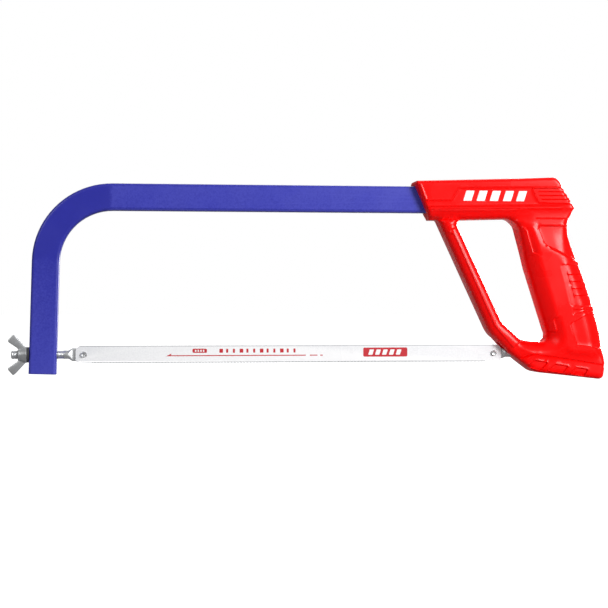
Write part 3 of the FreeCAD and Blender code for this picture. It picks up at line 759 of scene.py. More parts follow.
@dataclass
class Stud:
    """A zinc stud with a flattened, drilled end, and the pin that is riveted into it."""

    name: str
    node: str
    pin_node: str
    body: Body
    towards: int
    half_width: float
    flat_root: float
    tip: float = 4.8
    half_flat: float = 1.5
    shank: float = 3.0
    tail: float = 36.0
    thread_from: float = 14.0
    pitch: float = 1.0
    thread_depth: float = 0.28
    neck: float = 3.6
    squareness: float = 0.34
    around: int = 48

    def section(self, along: float, turn: float = 0.0) -> list[Point]:
        """Return the stud's cross-section as (y, z) rows in millimetres.

        Args:
            along: Distance from the pin towards the tail.
            turn: Turn of the thread at this distance, in radians.

        Returns:
            One row for each point round the section.
        """
        flat = 1 - float(smooth(self.flat_root - self.neck, self.flat_root, np.array(along)))
        width = self.half_width
        if along < 0:
            width *= math.sqrt(max(0.0, 1 - (along / self.tip) ** 2 * 0.72))
        rows = []
        for k in range(self.around):
            a = 2 * math.pi * k / self.around
            depth = 0.0
            if along > self.thread_from:
                depth = self.thread_depth * (0.5 + 0.5 * math.cos(a - turn))
            radius = self.shank - depth
            c, s = math.cos(a), math.sin(a)
            y_flat = self.half_flat * math.copysign(abs(c) ** self.squareness, c)
            z_flat = width * math.copysign(abs(s) ** self.squareness, s)
            rows.append((radius * c * (1 - flat) + y_flat * flat, radius * s * (1 - flat) + z_flat * flat))
        return rows

    def build(self) -> None:
        """Build the stud and its pin."""
        pin = centre(self.pin_node)
        stations = [-self.tip, -self.tip + 0.25, -self.tip * 0.8, -self.tip * 0.5, -self.tip * 0.2, 0.0]
        stations += list(np.linspace(1, self.flat_root, 16)) + [self.thread_from - 0.2]
        stations += list(np.arange(self.thread_from + 0.1, self.tail - 0.8, self.pitch / 12))
        stations += [self.tail - 0.5, self.tail]
        rings = []
        for along in stations:
            turn = 2 * math.pi * along / self.pitch
            shrink = 1.0 if along < self.tail - 0.3 else 0.84
            if along == -self.tip:
                shrink = 0.9
            rings.append([(pin.x + self.towards * along * MM, y * shrink * MM, pin.z + z * shrink * MM)
                          for y, z in self.section(along, turn)])
        place(loft(self.name, rings, 40.0), self.body, "zinc_plate", ZINC, self.node)
        # The pin: a riveted head behind the flat, then the shank with a dished front end.
        profile = [(2.2, -2.2), (2.65, -2.05), (2.7, -1.5), (1.84, -1.5), (1.84, 3.35), (1.7, 3.6),
                   (1.45, 3.8), (1.2, 3.72), (0.7, 3.55), (0.05, 3.5)]
        rivet = turned(self.name + "_pin", profile, Vector((pin.x, 0.0, pin.z)), "-y", 40, 50.0)
        place(rivet, self.body, "zinc_plate", ZINC, self.pin_node)


@dataclass
class WingNut:
    """The cast wing nut: a turned hub and two wings that sweep outward."""

    foot: float = 5.2
    neck: float = 4.3
    bore: float = 3.06
    height: float = 6.4
    half_thick: float = 1.1
    tip: float = 14.7
    reach: float = 13.4

    def wing_outline(self) -> list[Corner]:
        """Return one wing's (out from the axis, along the bolt, corner radius) rows."""
        root = self.neck - 1
        return [(root, 0.9, 0.1), (self.foot, 0.6, 1.0), (self.tip - 1.2, self.reach - 5.2, 2.0),
                (self.tip, self.reach - 3.6, 1.6), (self.tip - 4.2, self.reach, 1.4),
                (self.tip - 5.6, self.reach - 0.3, 1.2), (self.neck + 0.4, self.height + 0.3, 2.4),
                (root, self.height - 0.6, 0.1)]

    def hub_profile(self) -> list[Point]:
        """Return the hub's (radius, along the bolt) rows, from the bore at the foot and back to it."""
        rim = self.foot + 0.5
        return [(self.bore, 0.0), (self.foot + 0.3, 0.0), (rim, 0.15), (rim, 0.6), (self.foot + 0.3, 0.9),
                (self.foot, 1.3), (self.neck, self.height - 0.8), (self.neck - 0.2, self.height - 0.3),
                (self.neck - 0.6, self.height), (self.bore + 0.3, self.height),
                (self.bore, self.height - 0.3)]

    def build(self) -> None:
        """Build the nut and give it to its body."""
        low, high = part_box("wing_nut")
        seat = Vector((high.x, (low.y + high.y) / 2, (low.z + high.z) / 2))
        hub = turned("wing_nut_hub", self.hub_profile(), seat, "-x", 64, 40.0, bored=True)
        place(hub, Body.NUT, "cast_zinc", CAST_ZINC, "wing_nut")
        path = rounded_path(self.wing_outline(), 0.5)
        for side, label in ((1, "upper"), (-1, "lower")):
            rings = []
            for share, inset in ((-1.0, 0.55), (-0.92, 0.22), (-0.72, 0.0),
                                 (0.72, 0.0), (0.92, 0.22), (1.0, 0.55)):
                y = seat.y + share * self.half_thick * MM
                rings.append([(seat.x - along * MM, y, seat.z + side * out * MM)
                              for out, along in shrunk(path, inset)])
            wing = loft("wing_nut_%s_wing" % label, rings, 50.0)
            place(wing, Body.NUT, "cast_zinc", CAST_ZINC)


@dataclass
class Blade:
    """The toothed blade in white enamel, and the marks printed on it."""

    pitch: float = 25.4 / 24
    tooth_depth: float = 0.75
    margin: float = 6.0
    end: float = 5.8
    corner: float = 4.0
    heel: float = 1.6
    plain: float = 3.4
    hole: float = 2.1
    set_wave: float = 0.16
    wave_length: float = 9.0
    print_thick: float = 0.02

    def __post_init__(self) -> None:
        """Read the blade's place from its packed box."""
        low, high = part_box("blade")
        self.low, self.high = low / MM, high / MM
        self.middle_z = (self.low.z + self.high.z) / 2
        self.front, self.rear = self.low.x + self.end, self.high.x - self.end

    def outline(self) -> np.ndarray:
        """Return the blade's outline with its teeth, in millimetres."""
        low, high = self.low, self.high
        gullet = low.z + self.tooth_depth
        heel = self.heel
        body = rounded_path([(low.x, gullet, heel), (low.x, high.z, self.corner),
                             (high.x, high.z, self.corner), (high.x, gullet, heel)], 1.2)
        start = int(np.argmin(np.hypot(body[:, 0] - low.x, body[:, 1] - gullet - heel)))
        body = np.roll(body, -start, axis=0)
        upper = [tuple(p) for p in body if p[1] > gullet + 0.02]
        teeth = []
        count = int((self.rear - self.front - 2 * self.margin) / self.pitch)
        for i in range(count, 0, -1):
            x = self.front + self.margin + (i - 1) * self.pitch
            teeth += [(x + self.pitch * 0.86, gullet + 0.04), (x + self.pitch * 0.2, low.z),
                      (x, gullet - 0.12)]
        return np.array(upper + [(high.x - self.plain, gullet)] + teeth + [(low.x + self.plain, gullet)])

    def ring(self, x: float) -> np.ndarray:
        """Return a hole's edge."""
        a = np.linspace(0, 2 * math.pi, 40, endpoint=False)
        return np.stack([x + self.hole * np.cos(a), self.middle_z + self.hole * np.sin(a)], 1)

    def build(self) -> None:
        """Build the blade and its print."""
        outer = self.outline()
        holes = [self.ring(self.front), self.ring(self.rear)]
        flat, triangles = triangulate([outer] + holes, [], lambda p: (
            inside(p, outer) & ~inside(p, holes[0]) & ~inside(p, holes[1])))
        count = len(flat)
        gullet = self.low.z + self.tooth_depth
        points = []
        for y in (self.low.y, self.high.y):
            for x, z in flat:
                dip = 1.0 if z < gullet - 0.3 else 0.0
                shift = self.set_wave * math.sin(2 * math.pi * x / self.wave_length) * dip
                points.append((x * MM, min(max(y + shift, self.low.y), self.high.y) * MM, z * MM))
        faces = [tuple(t) for t in triangles] + [tuple(count + i for i in reversed(t)) for t in triangles]
        faces += [(b, a, count + a, count + b) for a, b in loops_of(triangles)]
        blade = make_mesh("saw_blade", points, faces, 30.0)
        outward(blade)
        enamel = GroundEdgeFinish("white_enamel", (251, 251, 252), (200, 203, 210), 0.33, coat=0.3,
                                  coat_roughness=0.15, grain_scale=1600.0, grain_height=0.012, tone=0.025,
                                  edge_wear_and_highlight=0.35, grime=0.1, scratches=0.35, edge_z=self.low.z * MM,
                                  back_z=self.high.z * MM)
        place(blade, Body.BLADE, "white_paint", enamel, "blade")
        self.print_marks()

    def patch(self, name: str, corners: Sequence[Corner], finish: Finish, level: float = 1.0) -> None:
        """Lay a thin printed patch on the near face.

        Args:
            name: Name of the piece.
            corners: (along from the front pin, above the middle line, corner radius) rows.
            finish: Its finish.
            level: Height above the enamel, in print thicknesses.
        """
        path = rounded_path([(self.front + x, self.middle_z + z, r) for x, z, r in corners], 0.6)
        base = self.low.y - self.print_thick * (level - 1)
        rings = [[(x * MM, (base - lift) * MM, z * MM) for x, z in path] for lift in (0.0, self.print_thick)]
        place(loft(name, rings), Body.BLADE, "white_paint", finish)

    def print_marks(self) -> None:
        """Print an arrow along the cutting stroke, plain plates and a row of gauge ticks."""
        bottom, top = -1.35, -0.65
        self.patch("print_arrow", [(58.6, -1.3, 0.1), (62.6, 0.6, 0.1), (62.0, top, 0.1), (160.0, top, 0.1),
                                   (160.0, bottom, 0.1), (58.6, bottom, 0.1)], RED_PRINT)
        for i, (x, length) in enumerate(((163.0, 5.6), (170.6, 1.9))):
            dash = [(x, top, 0.1), (x + length, top, 0.1), (x + length, bottom, 0.1), (x, bottom, 0.1)]
            self.patch("print_dash_%d" % (i + 1), dash, RED_PRINT)
        self.patch("print_small_plate", bar_corners(77.6, 88.0, 1.0, 4.0, 0.8), RED_PRINT)
        self.patch("print_large_plate", bar_corners(202.4, 235.2, -2.3, 4.4, 1.0), RED_PRINT)
        for i in range(12):
            width = 2.6 if i % 3 == 0 else 1.5
            x = 97.0 + i * 4.9
            self.patch("print_gauge_%02d" % (i + 1), bar_corners(x, x + width, 1.0, 3.9, 0.25), RED_PRINT)
        for i in range(4):
            x = 79.4 + i * 1.9
            tick = bar_corners(x, x + 1.0, 1.8, 3.2, 0.2)
            self.patch("print_small_tick_%d" % (i + 1), tick, WHITE_MARK, 2.0)
        for i, corners in enumerate(block_mark(206.0, 231.6, -0.9, 3.0)):
            self.patch("print_block_%d" % (i + 1), corners, WHITE_MARK, 2.0)


def bar_corners(x0: float, x1: float, z0: float, z1: float, radius: float) -> list[Corner]:
    """Return the corners of a rounded bar between two places."""
    return [(x0, z0, radius), (x1, z0, radius), (x1, z1, radius), (x0, z1, radius)]


def block_mark(x0: float, x1: float, z0: float, z1: float) -> list[list[Corner]]:
    """Return a plain row of slanted blocks that fills a field.

    Args:
        x0: Left end.
        x1: Right end.
        z0: Bottom.
        z1: Top.

    Returns:
        The corners of each block.
    """
    blocks, count, radius = [], 5, 0.35
    step = (x1 - x0) / count
    lean = (z1 - z0) * 0.32
    for i in range(count):
        left = x0 + i * step
        right = left + step * 0.74 - lean * 0.5
        blocks.append([(left, z0, radius), (right, z0, radius), (right + lean, z1, radius),
                       (left + lean, z1, radius)])
    return blocks


# ---------------------------------------------------------------------------- flat meshing

def triangulate(loops: Sequence[np.ndarray], scattered: Sequence[np.ndarray],
                keep: Callable[[np.ndarray], np.ndarray]) -> tuple[np.ndarray, np.ndarray]:
    """Fill a flat region with triangles.

    Args:
        loops: Closed paths whose segments stay edges.
        scattered: Further points inside.
        keep: Returns which triangle centres belong to the region.

    Returns:
        The points, and the triangles that are kept.
    """
    points = np.concatenate(list(loops) + [s for s in scattered if len(s)])
    edges, start = [], 0
    for loop in loops:
        count = len(loop)
        edges += [(start + i, start + (i + 1) % count) for i in range(count)]
        start += count
    made = delaunay_2d_cdt([Vector(p) for p in points], edges, [], 0, 1e-5)
    flat = np.array([tuple(v) for v in made[0]])
    triangles = np.array([tuple(f) for f in made[2]])
    kept = triangles[keep(flat[triangles].mean(axis=1))]
    used = np.unique(kept)
    renumber = np.full(len(flat), -1)
    renumber[used] = np.arange(len(used))
    return flat[used], renumber[kept]


def loops_of(triangles: np.ndarray) -> list[tuple[int, int]]:
    """Find the boundary edges of a set of triangles.

    Args:
        triangles: Three point numbers a row.

    Returns:
        The edges, each in its triangle's direction.
    """
    found = set()
    for a, b, c in triangles:
        for edge in ((a, b), (b, c), (c, a)):
            if (edge[1], edge[0]) in found:
                found.remove((edge[1], edge[0]))
            else:
                found.add(edge)
    return sorted((int(a), int(b)) for a, b in found)


# --------------------------------------------------------------------------------- handle

@dataclass
class Relief:
    """A groove or a filled panel in the handle's flank, or a raised one where depth is negative."""

    corners: list[Corner]
    depth: float
    width: float
    filled: bool = False
    lip: float = 0.0
    lip_width: float = 0.65

    def path(self) -> np.ndarray:
        """Return the sampled path."""
        return rounded_path(self.corners, 0.7, self.filled)

    def rows(self) -> list[np.ndarray]:
        """Return rows of mesh points that hold the relief's edges."""
        path = self.path()
        half = self.width / 2
        sides = (-half, half) if self.filled else (-half, 0.0, half)
        return [offset_path(path, side, self.filled) for side in sides + (-half * 2.2, half * 2.2)]

    def sink(self, points: np.ndarray) -> np.ndarray:
        """Work out how far the relief lowers the flank.

        Args:
            points: (length, height) rows.

        Returns:
            One depth for each point.
        """
        path = self.path()
        half = self.width / 2
        away = distance(points, path, self.filled)
        if not self.filled:
            return self.depth * (1 - smooth(0, half, away))
        signed = np.where(inside(points, path), away, -away)
        step = self.depth * smooth(-half, half, signed)
        return step - self.lip * (1 - smooth(0, self.lip_width, np.abs(signed + half)))


def line(*corners: Corner, depth: float = 0.55, width: float = 0.9) -> Relief:
    """Return an open groove, or a bead where depth is negative."""
    return Relief(list(corners), depth, width)


def panel(*corners: Corner, depth: float = 0.5, width: float = 0.7) -> Relief:
    """Return a sunk panel, or a raised one where depth is negative, with a lip round it."""
    return Relief(list(corners), depth, width, filled=True, lip=0.45 if depth > 0 else 0.1)


@dataclass
class Handle:
    """The moulded D-handle in two halves, with its screws and inlaid marks.

    Heights are above the pin line and lengths are from the rear pin, in millimetres.
    """

    half: float = 12.0
    grip: float = 14.0
    step: float = 0.8
    grid: float = 1.7
    parting: float = 0.12
    sharp_degrees: float = 38.0
    screw_recess_radius: float = 3.0
    screw_seat: float = 9.0
    screw_top: float = 10.98
    slot_half: float = 7.95
    slot_end: float = 10.4
    slot_near: float = -4.6
    slot_far: float = 3.0
    bar_half: float = 9.75
    bar_gap: float = 0.15
    screws: tuple[Point, ...] = ()

    def __post_init__(self) -> None:
        """Read the rear pin and the screws from their packed boxes."""
        pin = centre("rear_blade_pin") / MM
        self.origin = Vector((pin.x - 0.2, 0.0, pin.z))
        places = []
        for i in range(1, 7):
            spot = centre("handle_screw_%d" % i) / MM
            places.append((spot.x - self.origin.x, spot.z - self.origin.z))
        self.screws = tuple(places)

    def outline(self) -> np.ndarray:
        """Return the silhouette, with the steps of its ribs at the back."""
        housing_top = [(-59.4, 126.5, 1.6), (-58.1, 126.6, 1.0), (17.9, 129.0, 30.0), (43.0, 130.1, 2.0),
                       (45.6, 129.4, 2.0), (48.2, 127.0, 2.0), (49.7, 124.2, 0.8)]
        thumb_ribs = [(49.6, 122.6, 0.4), (51.2, 121.4, 0.6), (52.0, 119.4, 0.5), (52.1, 118.8, 0.3),
                      (53.6, 117.6, 0.6), (54.4, 116.3, 0.5), (54.3, 115.6, 0.3), (55.8, 114.4, 0.5),
                      (56.7, 112.7, 0.5), (56.1, 111.5, 0.3), (57.7, 110.4, 1.0), (59.6, 107.5, 1.0)]
        back = [(55.7, 100.0, 2.0), (55.0, 95.0, 3.0), (55.6, 88.7, 10.0), (58.9, 79.4, 10.0),
                (63.5, 68.6, 3.0), (64.4, 67.2, 0.6), (66.2, 62.0, 4.0)]
        finger_ribs = [(67.5, 58.6, 0.5), (68.3, 57.2, 0.5), (69.3, 53.4, 0.5), (70.2, 52.0, 0.5),
                       (71.0, 48.2, 0.5), (72.0, 46.6, 0.5), (72.7, 43.2, 0.5), (73.8, 41.4, 0.5),
                       (74.9, 36.2, 0.6), (75.9, 34.8, 0.6)]
        heel = [(76.7, 29.9, 8.0), (78.9, 22.5, 12.0), (81.2, 13.3, 14.0), (82.2, 5.0, 1.0),
                (81.9, 3.0, 0.5), (82.4, -1.6, 1.0), (82.6, -9.0, 0.6), (82.3, -9.8, 0.4),
                (82.5, -11.0, 0.8), (81.2, -19.6, 3.6)]
        base_and_guard = [(29.4, -13.9, 12.0), (11.0, -0.2, 26.0), (-4.4, 15.5, 20.0), (-42.3, 97.1, 1.6)]
        nose = [(-43.4, 98.0, 1.2), (-49.4, 98.0, 0.8), (-51.2, 103.1, 1.0), (-59.6, 122.6, 1.0),
                (-60.1, 124.6, 1.0)]
        corners = housing_top + thumb_ribs + back + finger_ribs + heel + base_and_guard + nose
        return rounded_path(corners, self.step)

    def opening(self) -> np.ndarray:
        """Return the finger opening."""
        corners = [(-30.6, 98.2, 3.6), (15.6, 99.4, 10.5), (23.8, 63.4, 60.0), (41.6, 7.9, 5.0),
                   (21.0, 9.4, 16.0), (5.0, 22.6, 16.0)]
        return rounded_path(corners, self.step)

    def housing_reliefs(self) -> list[Relief]:
        """Return the framed front field, the bead and groove under the inlay and the rear field."""
        return [
            line((-57.4, 124.0, 0.5), (-52.6, 112.0, 1.0), (-33.3, 112.5, 1.0), (-27.8, 121.4, 1.0),
                 (15.6, 122.3, 9.0), (45.6, 122.6, 0.5), depth=-0.55, width=1.5),
            line((-50.9, 107.6, 0.5), (47.4, 109.6, 0.5), depth=-0.6, width=1.6),
            line((-49.0, 105.3, 0.5), (48.8, 106.5, 0.5), depth=0.6, width=1.1),
            line((30.0, 99.4, 0.5), (60.0, 99.4, 0.5), depth=0.35, width=1.0),
            panel((27.0, 121.6, 0.6), (32.2, 111.3, 0.8), (62.0, 110.6, 0.5), (60.0, 122.0, 0.5), depth=0.5),
        ]

    def grip_reliefs(self) -> list[Relief]:
        """Return the raised front of the grip and the sunk panels behind its soft ridge."""
        return [
            panel((5.0, 93.2, 0.5), (20.3, 93.2, 2.2), (22.6, 90.6, 2.0), (27.6, 74.2, 2.0),
                  (39.8, 68.6, 2.0), (42.6, 61.6, 3.0), (45.4, 54.2, 3.0), (52.6, 31.8, 1.2),
                  (51.6, 29.8, 1.2), (43.7, 25.8, 1.0), (43.1, 24.4, 0.6), (45.4, 17.2, 0.6),
                  (44.6, 15.9, 0.6), (28.0, 15.9, 0.5), depth=-0.75, width=0.8),
            panel((70.0, 93.8, 0.5), (32.9, 93.8, 1.0), (32.0, 91.4, 1.0), (36.6, 80.4, 1.4),
                  (50.4, 73.8, 1.0), (70.0, 64.4, 0.5), depth=0.8),
            line((62.0, 67.2, 0.5), (51.6, 71.5, 0.5), (39.6, 77.4, 1.0), depth=0.3, width=0.8),
            panel((80.0, 65.2, 0.5), (46.9, 65.2, 1.0), (46.2, 63.6, 1.0), (49.4, 54.4, 2.0),
                  (55.2, 35.8, 1.0), (56.8, 34.8, 0.8), (80.0, 34.8, 0.5), depth=0.8),
            panel((56.0, 32.6, 0.3), (70.2, 32.6, 0.3), (57.2, 28.6, 0.3), depth=0.5, width=0.5),
            panel((88.0, 34.6, 0.5), (72.4, 30.8, 0.5), (55.0, 21.6, 1.0), (60.2, 6.2, 1.0), (88.0, 2.6, 0.5),
                  depth=0.8),
        ]

    def base_reliefs(self) -> list[Relief]:
        """Return the base's long groove and its three chevrons."""
        return [
            line((18.9, -3.6, 0.3), (28.1, -0.6, 1.0), (84.0, -9.2, 0.5), depth=0.7, width=1.2),
            panel((21.4, -9.4, 0.3), (29.3, -5.2, 0.3), (38.4, -6.9, 0.3), (33.0, -12.2, 0.3), depth=0.7),
            panel((38.7, -12.6, 0.3), (44.8, -8.2, 0.3), (54.1, -9.7, 0.3), (49.9, -14.4, 0.3), depth=0.7),
            panel((56.0, -15.0, 0.3), (60.2, -10.7, 0.3), (69.0, -12.1, 0.3), (66.0, -16.9, 0.3), depth=0.7),
        ]

    def guard_reliefs(self) -> list[Relief]:
        """Return the guard's raised inner face, drawn with its thin edge."""
        return [
            panel((-36.0, 88.0, 0.5), (-33.4, 88.4, 1.2), (-31.2, 86.4, 1.0), (-1.2, 20.0, 16.0),
                  (13.0, 4.0, 1.0), (22.6, 14.0, 0.5), (6.0, 26.0, 16.0), (-24.0, 92.0, 0.5),
                  (-30.0, 93.0, 0.5), depth=-0.7, width=0.8),
        ]

    def rib_reliefs(self) -> list[Relief]:
        """Return the thumb ribs behind the inlay and the finger ribs, each a groove to the back edge."""
        found = []
        for start, height in ((31.7, 119.2), (32.9, 116.3), (34.4, 113.5)):
            found.append(line((start, height, 0.2), (62.0, height + 0.2, 0.2), depth=0.65, width=1.0))
        for start, height in ((53.2, 58.2), (54.8, 52.9), (56.3, 47.8), (57.9, 42.6)):
            found.append(line((start, height, 0.2), (76.0, height, 0.2), depth=0.6, width=0.9))
            head = ((start - 0.2, height + 1.3, 0.2), (start + 0.2, height - 1.2, 0.2))
            found.append(line(*head, depth=0.6, width=0.8))
        return found

    def reliefs(self) -> list[Relief]:
        """Return the lines and panels that both flanks carry."""
        return (self.housing_reliefs() + self.grip_reliefs() + self.base_reliefs() + self.guard_reliefs()
                + self.rib_reliefs())

    @staticmethod
    def parts_at(p: np.ndarray) -> tuple[np.ndarray, np.ndarray, np.ndarray, np.ndarray]:
        """Share the flank out among the handle's parts.

        Args:
            p: (length, height) rows.

        Returns:
            The shares of housing, guard, base and grip, which blend where the parts meet.
        """
        x, z = p[:, 0], p[:, 1]
        housing = smooth(97.0, 102.0, z)
        base = 1 - smooth(-8.0, 8.0, z)
        lean = x - (4.0 - (z - 14.0) * 0.475)
        guard = (1 - smooth(6.0, 16.0, lean)) * (1 - housing) * smooth(-6.0, 8.0, z)
        return housing, guard, base, np.clip(1 - housing - base - guard, 0, 1)

    def thickness(self, p: np.ndarray, to_edge: np.ndarray) -> np.ndarray:
        """Work out the flank's level before its edges are rounded.

        Args:
            p: (length, height) rows.
            to_edge: Each row's distance from the nearest edge.

        Returns:
            One distance from the parting plane for each row.
        """
        x, z = p[:, 0], p[:, 1]
        housing, guard, _, grip = self.parts_at(p)
        level = self.half * np.ones(len(p))
        level -= 1.4 * guard
        level += 1.9 * grip * smooth(2.0, 14.0, to_edge) * (1 - smooth(70.0, 98.0, z))
        # Below the bead the housing falls back towards the opening.
        bead = 105.6 + (x + 50.9) * 0.0125
        fall = smooth(0.0, 1.6, bead - z) * housing
        under = smooth(97.0, 99.0, z) * (1 - smooth(6.0, 30.0, x)) * smooth(-56.0, -50.0, x)
        level -= fall * (0.5 + 0.6 * under) + 2.6 * smooth(0.4, 7.5, bead - z) * under
        # The roof slopes back above the framed field.
        roof = 122.8 + (x + 58) * 0.004
        return level - 0.25 * smooth(0.0, 7.0, z - roof)

    def edge_drop(self, p: np.ndarray, to_edge: np.ndarray, to_opening: np.ndarray) -> np.ndarray:
        """Work out how far the rounded edges lower the flank.

        Args:
            p: (length, height) rows.
            to_edge: Each row's distance from the nearest edge.
            to_opening: Each row's distance from the finger opening.

        Returns:
            One depth for each row.
        """
        x, z = p[:, 0], p[:, 1]
        housing, guard, base, grip = self.parts_at(p)
        lower = 1 - smooth(66.0, 99.0, z)
        reach = 2.6 * housing + 6.0 * guard + 4.0 * base + (6.0 + 6.0 * lower) * grip
        depth = 3.2 * housing + 4.8 * guard + 3.2 * base + (5.4 + 3.6 * lower) * grip
        back = smooth(20.0, 34.0, to_opening) * grip
        nose = smooth(-57.0, -60.5, x) * housing
        depth += 1.2 * back + 0.8 * nose
        t = np.clip(1 - to_edge / np.maximum(reach, 0.5), 0, 1)
        return depth * (1 - np.sqrt(np.clip(1 - t ** 2, 0, 1)))

    @staticmethod
    def ridge_rise(p: np.ndarray, to_edge: np.ndarray) -> np.ndarray:
        """Work out the soft ridge that runs down the grip between its front line and its panels.

        Args:
            p: (length, height) rows.
            to_edge: Each row's distance from the nearest edge.

        Returns:
            One height for each row.
        """
        corners = [(26.8, 93.0, 3), (32.8, 77.0, 4), (41.8, 71.0, 3), (46.0, 65.5, 3), (54.0, 33.0, 4),
                   (52.0, 24.0, 4), (57.0, 3.0, 3), (74.0, 1.4, 1)]
        crest = rounded_path(corners, 1.0, closed=False)
        swell = 1 - smooth(0.0, 5.5, distance(p, crest, False))
        return 1.1 * swell * smooth(0.0, 6.0, to_edge) * smooth(99.5, 92.0, p[:, 1])

    def with_recesses(self, p: np.ndarray, surface: np.ndarray) -> np.ndarray:
        """Sink a round recess with a flat collar for each screw.

        Args:
            p: (length, height) rows.
            surface: Each row's distance from the parting plane.

        Returns:
            The new distances.
        """
        radius = self.screw_recess_radius
        for screw_x, screw_z in self.screws:
            away = np.hypot(p[:, 0] - screw_x, p[:, 1] - screw_z)
            sunk = smooth(radius + 0.35, radius, away)
            surface = surface * (1 - sunk) + np.minimum(surface, self.screw_seat) * sunk
            collar = smooth(radius + 1.5, radius + 0.4, away) * (1 - sunk)
            surface = surface * (1 - collar) + np.maximum(surface, self.half - 0.3) * collar
        return surface

    def height(self, p: np.ndarray, outer: np.ndarray, opening: np.ndarray, side: Side) -> np.ndarray:
        """Return the flank's distance from the parting plane.

        Args:
            p: (length, height) rows.
            outer: The silhouette.
            opening: The finger opening.
            side: The half being made.

        Returns:
            One distance for each row, in millimetres.
        """
        to_opening = distance(p, opening, True)
        to_edge = np.minimum(distance(p, outer, True), to_opening)
        surface = self.thickness(p, to_edge) - self.edge_drop(p, to_edge, to_opening)
        surface += self.ridge_rise(p, to_edge)
        for relief in self.reliefs():
            near_edge = smooth(0.0, 0.6, to_edge) if relief.filled else 1.0
            surface -= relief.sink(p) * near_edge
        if side is Side.FAR:
            surface = self.with_recesses(p, surface)
        return np.clip(surface, 1.0, self.grip - 0.02)

    def scattered(self, outer: np.ndarray, opening: np.ndarray, side: Side) -> list[np.ndarray]:
        """Return the mesh points inside the silhouette.

        Args:
            outer: The silhouette.
            opening: The finger opening.
            side: The half being made.

        Returns:
            Rows of points, the finest first.
        """
        rows = []
        for relief in self.reliefs():
            rows += relief.rows()
        if side is Side.FAR:
            a = np.linspace(0, 2 * math.pi, 36, endpoint=False)
            for screw_x, screw_z in self.screws:
                for radius in (2.0, 3.0, 3.35, 4.4):
                    rows.append(np.stack([screw_x + radius * np.cos(a), screw_z + radius * np.sin(a)], 1))
        for inset in (0.15, 0.4, 0.8, 1.35, 2.1, 3.1, 4.4, 6.0, 8.0):
            stride = 1 if inset < 3 else 2
            for path, inward in ((outer, inset), (opening, -inset)):
                row = shrunk(path, inward)[::stride]
                kept = np.minimum(distance(row, outer, True), distance(row, opening, True)) > inset * 0.93
                rows.append(row[kept])
        low, high = outer.min(0), outer.max(0)
        x, z = np.meshgrid(np.arange(low[0], high[0], self.grid), np.arange(low[1], high[1], self.grid))
        x = x + (np.arange(x.shape[0]) % 2)[:, None] * self.grid / 2
        rows.append(np.stack([x.ravel(), z.ravel()], 1))
        return self.thin(rows, outer, opening)

    @staticmethod
    def thin(rows: list[np.ndarray], outer: np.ndarray, opening: np.ndarray) -> list[np.ndarray]:
        """Drop points outside the silhouette or too near an earlier one.

        Args:
            rows: Rows of points, the finest first and the plain grid last.
            outer: The silhouette.
            opening: The finger opening.

        Returns:
            The rows that are left.
        """
        taken: dict[tuple[int, int], list[np.ndarray]] = {}
        kept_rows = []
        cell, edge_gap, fine_gap, grid_gap = 0.5, 0.1, 0.2, 0.75
        for index, row in enumerate(rows):
            gap = fine_gap if index < len(rows) - 1 else grid_gap
            reach = int(math.ceil(gap / cell))
            cells = [(i, j) for i in range(-reach, reach + 1) for j in range(-reach, reach + 1)]
            row = row[inside(row, outer) & ~inside(row, opening)]
            row = row[np.minimum(distance(row, outer, True), distance(row, opening, True)) > edge_gap]
            kept = []
            for point in row:
                u, v = int(point[0] // cell), int(point[1] // cell)
                near = (q for i, j in cells for q in taken.get((u + i, v + j), ()))
                if any(abs(q[0] - point[0]) < gap and abs(q[1] - point[1]) < gap for q in near):
                    continue
                taken.setdefault((u, v), []).append(point)
                kept.append(point)
            if kept:
                kept_rows.append(np.array(kept))
        return kept_rows

    def shell(self, side: Side) -> None:
        """Build one half as a closed solid, with the slot for the blade's holder.

        Args:
            side: The half being made.
        """
        outer, opening = self.outline(), self.opening()
        flat, triangles = triangulate([outer, opening], self.scattered(outer, opening, side),
                                      lambda p: inside(p, outer) & ~inside(p, opening))
        rim = loops_of(triangles)
        border = sorted({i for edge in rim for i in edge})
        count = len(flat)
        wall = {v: 2 * count + k for k, v in enumerate(border)}
        points = self.lifted(flat, self.height(flat, outer, opening, side), side)
        points += self.lifted(flat, np.zeros(count), side)
        points += self.lifted(flat[border], np.full(len(border), self.parting), side)
        faces = [tuple(t) for t in triangles] + [tuple(count + i for i in reversed(t)) for t in triangles]
        for a, b in rim:
            faces.append((b, a, wall[a], wall[b]))
            faces.append((wall[b], wall[a], count + a, count + b))
        name = "handle_shell_" + side.name.lower()
        piece = make_mesh(name + "_moulded", points, faces, self.sharp_degrees)
        outward(piece)
        self.cut_slot(piece)
        place(piece, Body.FRAME, "red_plastic", RED_PLASTIC, name)

    def lifted(self, flat: np.ndarray, levels: np.ndarray, side: Side) -> Ring:
        """Raise flat points off the parting plane.

        Args:
            flat: (length, height) rows.
            levels: One distance from the parting plane for each row.
            side: The side to raise them to.

        Returns:
            The points, in metres.
        """
        return [((x + self.origin.x) * MM, side.value * y * MM, (z + self.origin.z) * MM)
                for (x, z), y in zip(flat, levels)]

    @staticmethod
    def box_tool(name: str, low: Sequence[float], high: Sequence[float]) -> Piece:
        """Make a box to cut with.

        Args:
            name: Name of the box.
            low: Its lowest corner, in millimetres.
            high: Its highest corner, in millimetres.

        Returns:
            The new object.
        """
        points = [(x * MM, y * MM, z * MM) for x in (low[0], high[0]) for y in (low[1], high[1])
                  for z in (low[2], high[2])]
        faces = [(0, 1, 3, 2), (4, 6, 7, 5), (0, 4, 5, 1), (2, 3, 7, 6), (0, 2, 6, 4), (1, 5, 7, 3)]
        tool = make_mesh(name, points, faces)
        outward(tool)
        return tool

